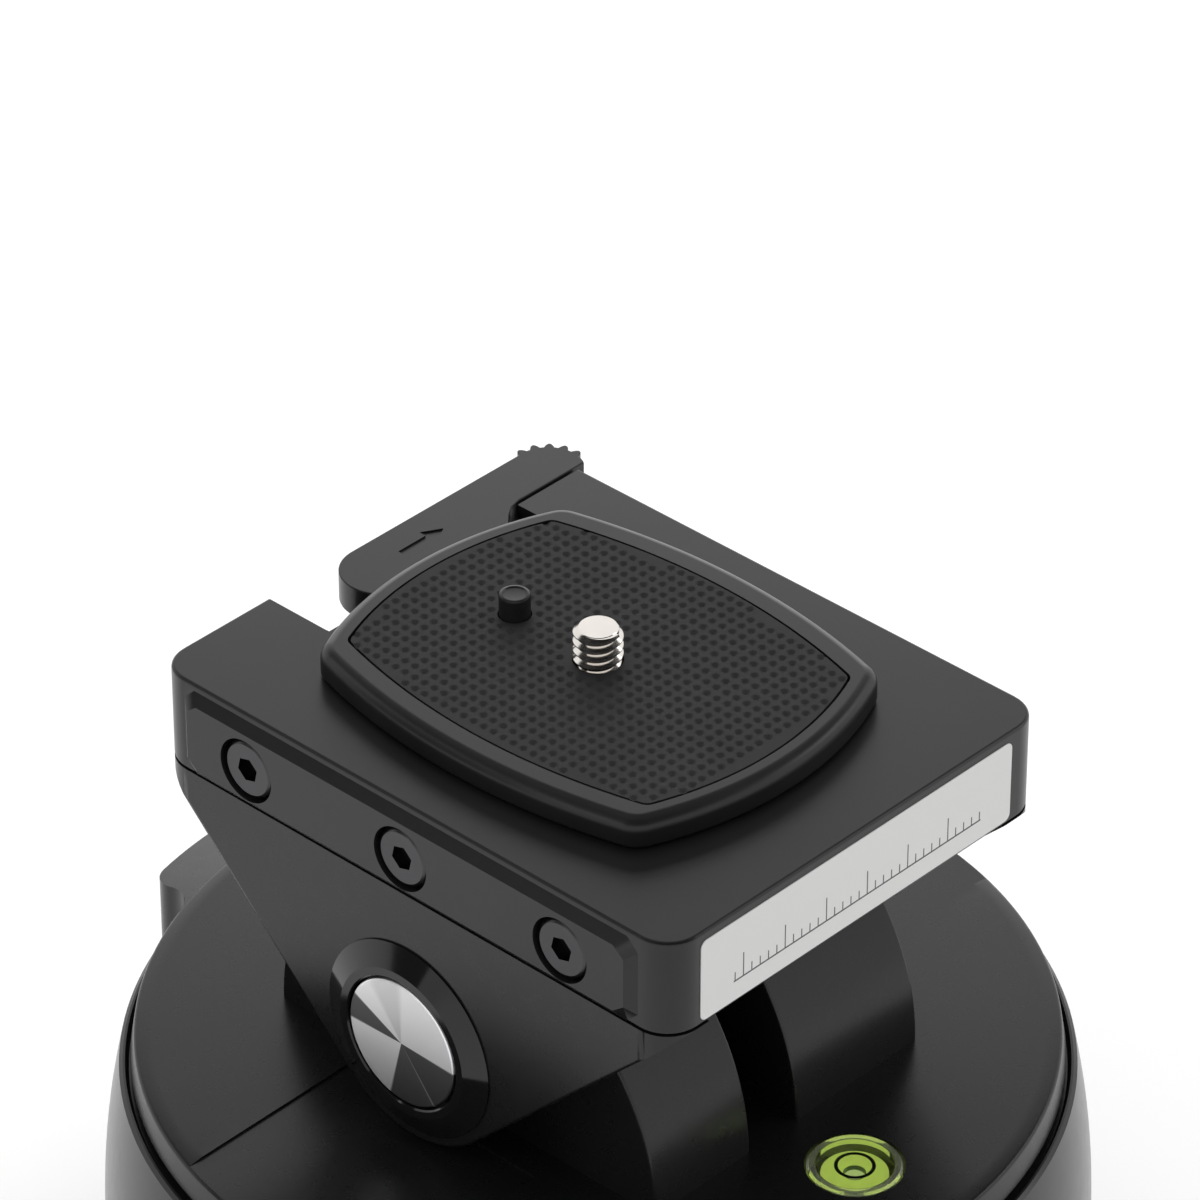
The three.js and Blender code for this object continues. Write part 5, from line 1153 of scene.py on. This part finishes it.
def side_screw(name, side, y):
    """A socket head screw on the given side, its head outwards."""
    screw = turned_out(name, side, [
        (0, SHANK_END), (SHANK_TIP_RADIUS, SHANK_END), (SHANK_RADIUS, SHANK_TIP_TOP),
        (SHANK_RADIUS, SCREW_SEAT), (HEAD_RADIUS, SCREW_SEAT),
        (HEAD_RADIUS, SCREW_FACE - HEAD_SHOULDER),
        (HEAD_RADIUS - HEAD_BREAK[0], SCREW_FACE - HEAD_BREAK[1]),
        (HEAD_RADIUS - HEAD_BEVEL, SCREW_FACE), (0, SCREW_FACE)], (0, y, SCREW_Z), 72)
    hexagon = arc((y, SCREW_Z), HEX_RADIUS, HEX_TURN, HEX_TURN + 5 * math.pi / 3, 5)
    hex_ends = ends(side, SCREW_FACE - HEX_DEPTH, SCREW_FACE + OVER)
    return cut(screw, prism("key", hexagon, *hex_ends, "X"))


for side, word in ((1, "right"), (-1, "left")):
    for i, y in enumerate(SCREW_PLACES, 1):
        screw = side_screw(f"socket_screw_{word}_{i}", side, y)
        place_piece(
            smooth(screw), screw_black, "platform", "screw_black", f"side_screw_{word}_{i}")

# Hub rings and axle caps: a polished black cone round each end of the axle, and inside it a
# spun aluminium disc with fine turning lines, whose wedges of reflection are painted into its
# colour.
RING_ROOT = 33.9
RING_FACE = 36
RING_TOP_RADIUS = 10.7
RING_INNER_RADIUS = 9.4
RING_OUTER_RADIUS = 13.9
RING_NECK_RADIUS = 11.8
RING_STAND = 0.05
RING_RIM = 0.25
RING_TOP_BREAK = (0.08, 0.03)
RING_MOUTH_EDGE = 0.2
CAP_RADIUS = 9.1
CAP_FACE = 35.9
# Each corner of the cap's edge: how far in from its radius, and how far below its face.
CAP_EDGE = ((0, 0.35), (0.1, 0.1), (0.3, 0))
GROOVE_PITCH = 0.11
PAINTED_REFLECTION_DARK = (0.02, 0.02, 0.02, 1)
SPUN_BRIGHT = (0.93, 0.93, 0.94, 1)
# Each painted reflection wedge: its middle and half width in degrees, how soft its edges are, and
# how much of the bright colour it keeps.
PAINTED_REFLECTION_WEDGES = ((11.5, 13.5, 1.5, 0.12), (206, 25, 1.5, 0.11), (257.5, 26, 1.5, 0.13), (71, 17, 6, 0.8))
gloss_black = moulded("gloss_black", 0.006, 0.009, 0.09, 0.5, 0.0004, 0.03)
spun, start = new_material("spun_cap")
place = object_place(start)
from_axle = place.part("Z") / MM - AXLE_Z
side_way = place.part("Y") / MM
reach = (side_way * side_way + from_axle * from_axle).math("SQRT")
turn = from_axle.math("ARCTAN2", side_way)
# Painted reflection: the cap's colour is darkened in fixed wedges round the axle, in place of the
# light its turning lines catch.
painted_reflection = 1.0
for angle, half, soft, share in PAINTED_REFLECTION_WEDGES:
    painted_reflection = painted_reflection * start.node("MapRange", {"interpolation_type": "SMOOTHSTEP"}, {
        "Value": (turn - math.radians(angle)).math("COSINE"),
        "From Min": math.cos(math.radians(half + soft)),
        "From Max": math.cos(math.radians(half - soft)), "To Min": 1.0, "To Max": share})
wave = (reach * 2 * math.pi / GROOVE_PITCH).math("SINE")
finished(start, {
    "Base Color": painted_reflection.mix(PAINTED_REFLECTION_DARK, SPUN_BRIGHT),
    "Metallic": 1.0,
    "Roughness": 0.42 + 0.03 * noise(place, 0.4),
}, wave, 0.001)
ring_foot = HOUSING_HALF_X + RING_STAND
for side, word in ((1, "right"), (-1, "left")):
    ring = turned_out(f"hub_cone_{word}", side, [
        (RING_INNER_RADIUS, RING_ROOT), (RING_NECK_RADIUS, RING_ROOT),
        (RING_NECK_RADIUS, ring_foot), (RING_OUTER_RADIUS, ring_foot),
        (RING_OUTER_RADIUS, HOUSING_HALF_X + RING_RIM),
        (RING_TOP_RADIUS + RING_TOP_BREAK[0], RING_FACE - RING_TOP_BREAK[1]),
        (RING_TOP_RADIUS, RING_FACE), (RING_INNER_RADIUS + RING_MOUTH_EDGE, RING_FACE),
        (RING_INNER_RADIUS, RING_FACE - RING_MOUTH_EDGE)], axle_centre, 160)
    place_piece(smooth(ring, 20), gloss_black, "platform", "gloss_ring", f"hub_ring_{word}")
    disc = turned_out(f"axle_disc_{word}", side, [
        (0, RING_ROOT), (CAP_RADIUS, RING_ROOT),
        *((CAP_RADIUS - inward, CAP_FACE - below) for inward, below in CAP_EDGE),
        (0, CAP_FACE)], axle_centre, 160)
    place_piece(smooth(disc, 20), spun, "platform", "spun_cap", f"axle_cap_{word}")

# Release lever: a satin black moulding that turns on a pin in the rear notch. Its cam holds
# the plate's foot, its ribbed end sticks out at the right, and a coil spring closes it.
LEVER_LOW = 109.7
LEVER_EDGE = 0.15
LEVER_LOW_EDGE = 0.2
LEVER_PIVOT_RADIUS = 5.8
LEVER_CAM_REACH = 7.6
LEVER_CAM_SPAN = (1.5, 15.5)
# The inner edge curves from the cam to its straight run.
LEVER_BEND = ((18.9, 33.7), (20.3, 35), (21.8, 35.95))
LEVER_STRAIGHT_X = 23.6
LEVER_INNER_Y = 36.35
LEVER_PIN_DEPTH = 2.9
TIP_RADIUS = 4.8
TIP_X = 31.9
GRIP_BUMPS = [math.radians(88 - 23 * i) for i in range(5)]
GRIP_HALF = math.radians(8.5)
GRIP_PROUD = 0.85
GRIP_STEPS = 4
GRIP_SHORT = 0.02
ARROW = [
    (4.4, 38.4), (9.4, 38.4), (9.4, 37.3), (12.2, 38.9), (9.4, 40.5), (9.4, 39.4), (4.4, 39.4)]
ARROW_DEPTH = 0.25
tip_centre = (TIP_X, PIVOT[1] + LEVER_PIVOT_RADIUS - TIP_RADIUS)
tip_start = math.asin((LEVER_INNER_Y - tip_centre[1]) / TIP_RADIUS)
nose = (LEVER_CAM_SPAN[0] - PIVOT[0], -LEVER_CAM_REACH)
pivot_end = math.atan2(nose[1], nose[0]) - math.acos(LEVER_PIVOT_RADIUS / math.hypot(*nose))
tip = []
for bump in GRIP_BUMPS:
    for i in range(2 * GRIP_STEPS + 1):
        angle = bump + GRIP_HALF * (1 - i / GRIP_STEPS)
        out = TIP_RADIUS + GRIP_PROUD * math.cos((1 - i / GRIP_STEPS) * math.pi / 2)
        tip.append((tip_centre[0] + out * math.cos(angle), tip_centre[1] + out * math.sin(angle)))
tip.reverse()
last_bump = GRIP_BUMPS[-1] - GRIP_HALF
lever = prism("lever_moulding", [
    *((x, PIVOT[1] - LEVER_CAM_REACH) for x in LEVER_CAM_SPAN),
    *LEVER_BEND, (LEVER_STRAIGHT_X, LEVER_INNER_Y),
    *arc(tip_centre, TIP_RADIUS, tip_start, last_bump - GRIP_SHORT, 6),
    *tip,
    *arc(PIVOT, LEVER_PIVOT_RADIUS, math.pi / 2, 2 * math.pi + pivot_end, 36),
], LEVER_LOW, PLATFORM_TOP)
bevel_edges(lever, flat_at(2, PLATFORM_TOP), LEVER_EDGE)
bevel_edges(lever, flat_at(2, LEVER_LOW), LEVER_LOW_EDGE, 2)
cut(
    lever,
    rod("pin_way", PIN_WAY_RADIUS, LEVER_LOW - OVER, LEVER_LOW + LEVER_PIN_DEPTH,
        pivot_centre, "Z", 48),
    prism("arrow", ARROW, PLATFORM_TOP - ARROW_DEPTH, PLATFORM_TOP + OVER))
place_piece(smooth(lever), platform_black, "release_lever", "black_satin", "release_lever")
coil_low, coil_high = extent("lever_spring")
COIL_RADIUS = 4.0
COIL_TURNS = 3
COIL_STEPS = 40
WIRE = 0.4
WIRE_SIDES = 12
coil_pitch = (coil_high.z - coil_low.z - 2 * WIRE) / COIL_TURNS
wire_round = arc((COIL_RADIUS, coil_low.z + WIRE), WIRE, 0, 2 * math.pi, WIRE_SIDES)[:-1]
coil = outline("lever_coil", [(x, 0, z) for x, z in wire_round], False)
wound(coil, coil_pitch, COIL_TURNS, COIL_STEPS, centre=PIVOT)
place_piece(smooth(coil), steel, "platform", "steel", "lever_spring")

# Quick-release plate: a black moulding with bowed sides and a well rounded rim, and a square
# foot that drops into the platform's socket.
RIM_LOW = 114.4
RIM_HIGH = 118.4
RIM_ROUND = 1.8
RIM_EDGE = 0.35
PAD_LOW = 117.2
PAD_BED = 0.1
# Half width, half length, the bow of each, and the corner.
PLATE_SIZES = (26.4, 32.5, 4, 5.3, 4.2)
PAD_SIZES = (22.1, 29.2, 3.7, 3.8, 1.4)
# Left, front, right, rear and corner.
PLATE_FOOT = (-19.5, -24, 19.5, 30.1, 2)
CAMERA_SCREW_RADIUS = 3.175
HEAD_ROOM_RADIUS = 8.3
HEAD_ROOM = 3
PIN_HOLE_RADIUS = 2.35
PIN_ROOM_RADIUS = 3.2
PIN_ROOM_ROOF = 1.3
PLATE_CENTRE = (0, 0, 0)


def bowed(half_x, half_y, bow_x, bow_y, corner, steps=14):
    """A rectangle whose sides bow outwards, with rounded corners, as in the frame's plate."""
    radius_x = ((half_y - bow_y) ** 2 + bow_x ** 2) / (2 * bow_x)
    radius_y = ((half_x - bow_x) ** 2 + bow_y ** 2) / (2 * bow_y)
    side_centre = (half_x - radius_x, 0)
    end_centre = (0, half_y - radius_y)
    reach_x, reach_y = radius_x - corner, radius_y - corner
    apart = math.hypot(side_centre[0], end_centre[1])
    along = (reach_x ** 2 - reach_y ** 2 + apart ** 2) / (2 * apart)
    off = math.sqrt(reach_x ** 2 - along ** 2)
    unit = (-side_centre[0] / apart, end_centre[1] / apart)
    corner_centre = (
        side_centre[0] + unit[0] * along - unit[1] * off, unit[1] * along + unit[0] * off)
    side_angle = math.atan2(corner_centre[1], corner_centre[0] - side_centre[0])
    end_angle = math.atan2(corner_centre[1] - end_centre[1], corner_centre[0])
    quarter = [
        *arc(side_centre, radius_x, 0, side_angle, steps),
        *arc(corner_centre, corner, side_angle, end_angle, steps)[1:],
        *arc(end_centre, radius_y, end_angle, math.pi / 2, steps)[1:],
    ]
    upper = quarter + [(-x, y) for x, y in reversed(quarter[:-1])]
    return upper + [(x, -y) for x, y in reversed(upper[1:-1])]


pin_low, pin_high = extent("anti_twist_pin")
pin_centre = (0, (pin_low.y + pin_high.y) / 2, 0)
under = plate_low.z - OVER
plate = prism("plate_moulding", bowed(*PLATE_SIZES), RIM_LOW, RIM_HIGH)
bevel_edges(plate, flat_at(2, RIM_HIGH), RIM_ROUND, 8)
bevel_edges(plate, flat_at(2, RIM_LOW), RIM_EDGE)
combine(plate, prism("plate_foot", rounded(*PLATE_FOOT), plate_low.z, RIM_LOW + SEAT), "UNION")
pad_x, pad_y, pad_bow_x, pad_bow_y, pad_corner = PAD_SIZES
pad_seat = bowed(pad_x + SEAT, pad_y + SEAT, pad_bow_x, pad_bow_y, pad_corner + SEAT)
cut(
    plate,
    prism("pad_seat", pad_seat, PAD_LOW - PAD_BED, RIM_HIGH + OVER),
    rod("screw_hole", CAMERA_SCREW_RADIUS + SEAT, under, RIM_HIGH, PLATE_CENTRE, "Z", 64),
    rod("head_room", HEAD_ROOM_RADIUS, under, plate_low.z + HEAD_ROOM, PLATE_CENTRE, "Z", 96),
    rod("pin_hole", PIN_HOLE_RADIUS, under, RIM_HIGH, pin_centre, "Z", 48),
    rod("pin_room", PIN_ROOM_RADIUS, under, PAD_LOW - PIN_ROOM_ROOF, pin_centre, "Z", 48))
place_piece(smooth(plate), black_satin, "quick_plate", "black_satin", "quick_plate")

# Pad: black rubber let into the plate, with round dimples in square rows. All dimples are cut
# at once, and only where they lie whole on the pad.
DIMPLE_PITCH = (1.72, 1.69)
DIMPLE_SHIFT = (0.31, 0.23)
DIMPLE_RADIUS = 0.66
DIMPLE_FLOOR = 0.24
DIMPLE_DEPTH = 0.3
DIMPLE_OVER = 0.1
DIMPLE_SIDES = 8
DIMPLE_MARGIN = 0.25
SCREW_CLEAR = 4
PIN_CLEAR = 2.9
PAD_HOLE_GAP = 0.1
PAD_PIN_RADIUS = 2.2
pad_span = (PAD_LOW - OVER, RIM_HIGH + OVER)
pad = cut(
    prism("pad_dimples", bowed(*PAD_SIZES), PAD_LOW, RIM_HIGH),
    rod("screw_hole", CAMERA_SCREW_RADIUS + PAD_HOLE_GAP, *pad_span, PLATE_CENTRE, "Z", 64),
    rod("pin_hole", PAD_PIN_RADIUS, *pad_span, pin_centre, "Z", 48))


def on_pad(x, y):
    """True where a dimple lies whole on the pad and clear of the screw and the pin."""
    margin = DIMPLE_RADIUS + DIMPLE_MARGIN
    edge_x = pad_x - pad_bow_x * (y / pad_y) ** 2
    edge_y = pad_y - pad_bow_y * (x / pad_x) ** 2
    clear = math.hypot(x, y) > SCREW_CLEAR and math.hypot(x, y - pin_centre[1]) > PIN_CLEAR
    return abs(x) < edge_x - margin and abs(y) < edge_y - margin and clear


points, faces = [], []
columns, rows = int(pad_x / DIMPLE_PITCH[0]) + 1, int(pad_y / DIMPLE_PITCH[1]) + 1
wide = DIMPLE_RADIUS + DIMPLE_OVER * (DIMPLE_RADIUS - DIMPLE_FLOOR) / DIMPLE_DEPTH
dimple_ends = ((DIMPLE_FLOOR, RIM_HIGH - DIMPLE_DEPTH), (wide, RIM_HIGH + DIMPLE_OVER))
around = arc((0, 0), 1, 0, 2 * math.pi, DIMPLE_SIDES)[:-1]
for column in range(-columns, columns + 1):
    for row in range(-rows, rows + 1):
        x, y = column * DIMPLE_PITCH[0] + DIMPLE_SHIFT[0], row * DIMPLE_PITCH[1] + DIMPLE_SHIFT[1]
        if on_pad(x, y):
            low = range(len(points), len(points) + DIMPLE_SIDES)
            high = [i + DIMPLE_SIDES for i in low]
            for radius, z in dimple_ends:
                points += [((x + radius * c) * MM, (y + radius * s) * MM, z * MM)
                           for c, s in around]
            faces += [tuple(reversed(low)), tuple(high)]
            faces += [(low[i - 1], low[i], high[i], high[i - 1]) for i in range(DIMPLE_SIDES)]
dimples = bpy.data.objects.new("dimples", bpy.data.meshes.new("dimples"))
dimples.data.from_pydata(points, [], faces)
bpy.context.collection.objects.link(dimples)
place_piece(smooth(cut(pad, dimples), 40), rubber, "quick_plate", "rubber_pad", "plate_pad")

# Camera screw: a bright nickel 1/4 inch screw, held loose in the plate, with a wide slotted
# head below. Its thread ends at the top face.
SCREW_HEAD_RADIUS = 8
SCREW_HEAD_THICK = 2.4
SCREW_HEAD_EDGE = 0.3
SCREW_TIP_EDGE = 0.15
COIN_SLOT_HALF = (9, 0.9)
COIN_SLOT_DEPTH = 1.2
THREAD_OVERRUN = 0.3
THREAD_SHORT = 0.03
THREAD_START = math.radians(80)
core_radius = CAMERA_SCREW_RADIUS - THREAD_DEPTH
screw_low, screw_high = extent("camera_screw")
head_high = screw_low.z + SCREW_HEAD_THICK
camera_screw = turned("nickel_screw", [
    (0, screw_low.z), (SCREW_HEAD_RADIUS - SCREW_HEAD_EDGE, screw_low.z),
    (SCREW_HEAD_RADIUS, screw_low.z + SCREW_HEAD_EDGE),
    (SCREW_HEAD_RADIUS, head_high - SCREW_HEAD_EDGE),
    (SCREW_HEAD_RADIUS - SCREW_HEAD_EDGE, head_high),
    (core_radius, head_high), (core_radius, screw_high.z - SCREW_TIP_EDGE),
    (core_radius - SCREW_TIP_EDGE, screw_high.z), (0, screw_high.z)], steps=96)
slot_x, slot_y = COIN_SLOT_HALF
cut(camera_screw, box("coin_slot", (-slot_x, -slot_y, screw_low.z - OVER),
                      (slot_x, slot_y, screw_low.z + COIN_SLOT_DEPTH)))
screw_thread = thread_ridge(
    "screw_thread", core_radius - THREAD_SINK, CAMERA_SCREW_RADIUS,
    head_high + THREAD_LEAD, screw_high.z + THREAD_OVERRUN, THREAD_START)
thread_room = rod("thread_room", CAMERA_SCREW_RADIUS + OVER, head_high,
                  screw_high.z - THREAD_SHORT, PLATE_CENTRE, "Z", 64)
combine(screw_thread, thread_room, "INTERSECT")
nickel = metal("nickel", (0.86, 0.82, 0.77), 0.16, 0.3, 0.001, 0.06)
place_piece(smooth(join(camera_screw, screw_thread)), nickel,
            "camera_screw", "nickel_screw", "camera_screw")

# Anti-twist pin: a black plastic plunger with a dished top, held by its flange under the
# plate's roof and pushed up by a steel coil. The coil has the frame's shape.
PIN_RADIUS = 2.05
PIN_BORE_RADIUS = 1.43
PIN_FLANGE_RADIUS = 2.9
PIN_FLANGE = 0.8
PIN_ROOF = 1.2
# Each corner of the plunger's rim: how far in from its radius, and how far below its top.
PIN_RIM = ((0, 0.3), (0.1, 0.08), (0.25, 0), (0.45, 0), (0.6, 0.15))
PIN_DISH = 0.22
flange_high = pin_low.z + PIN_FLANGE
plunger = turned("twist_pin", [
    (PIN_BORE_RADIUS, pin_low.z), (PIN_FLANGE_RADIUS, pin_low.z),
    (PIN_FLANGE_RADIUS, flange_high), (PIN_RADIUS, flange_high),
    *((PIN_RADIUS - inward, pin_high.z - below) for inward, below in PIN_RIM),
    (0, pin_high.z - PIN_DISH), (0, pin_high.z - PIN_ROOF),
    (PIN_BORE_RADIUS, pin_high.z - PIN_ROOF)], pin_centre, "Z", 72)
place_piece(smooth(plunger), black_satin, "anti_twist_pin", "black_satin", "anti_twist_pin")
coil = bpy.data.objects.new("pin_coil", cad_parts["pin_spring"].data.copy())
bpy.context.collection.objects.link(coil)
place_piece(coil, steel, "quick_plate", "steel", "pin_spring")
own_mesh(coil)

bpy.context.scene.view_settings.view_transform = "Standard"
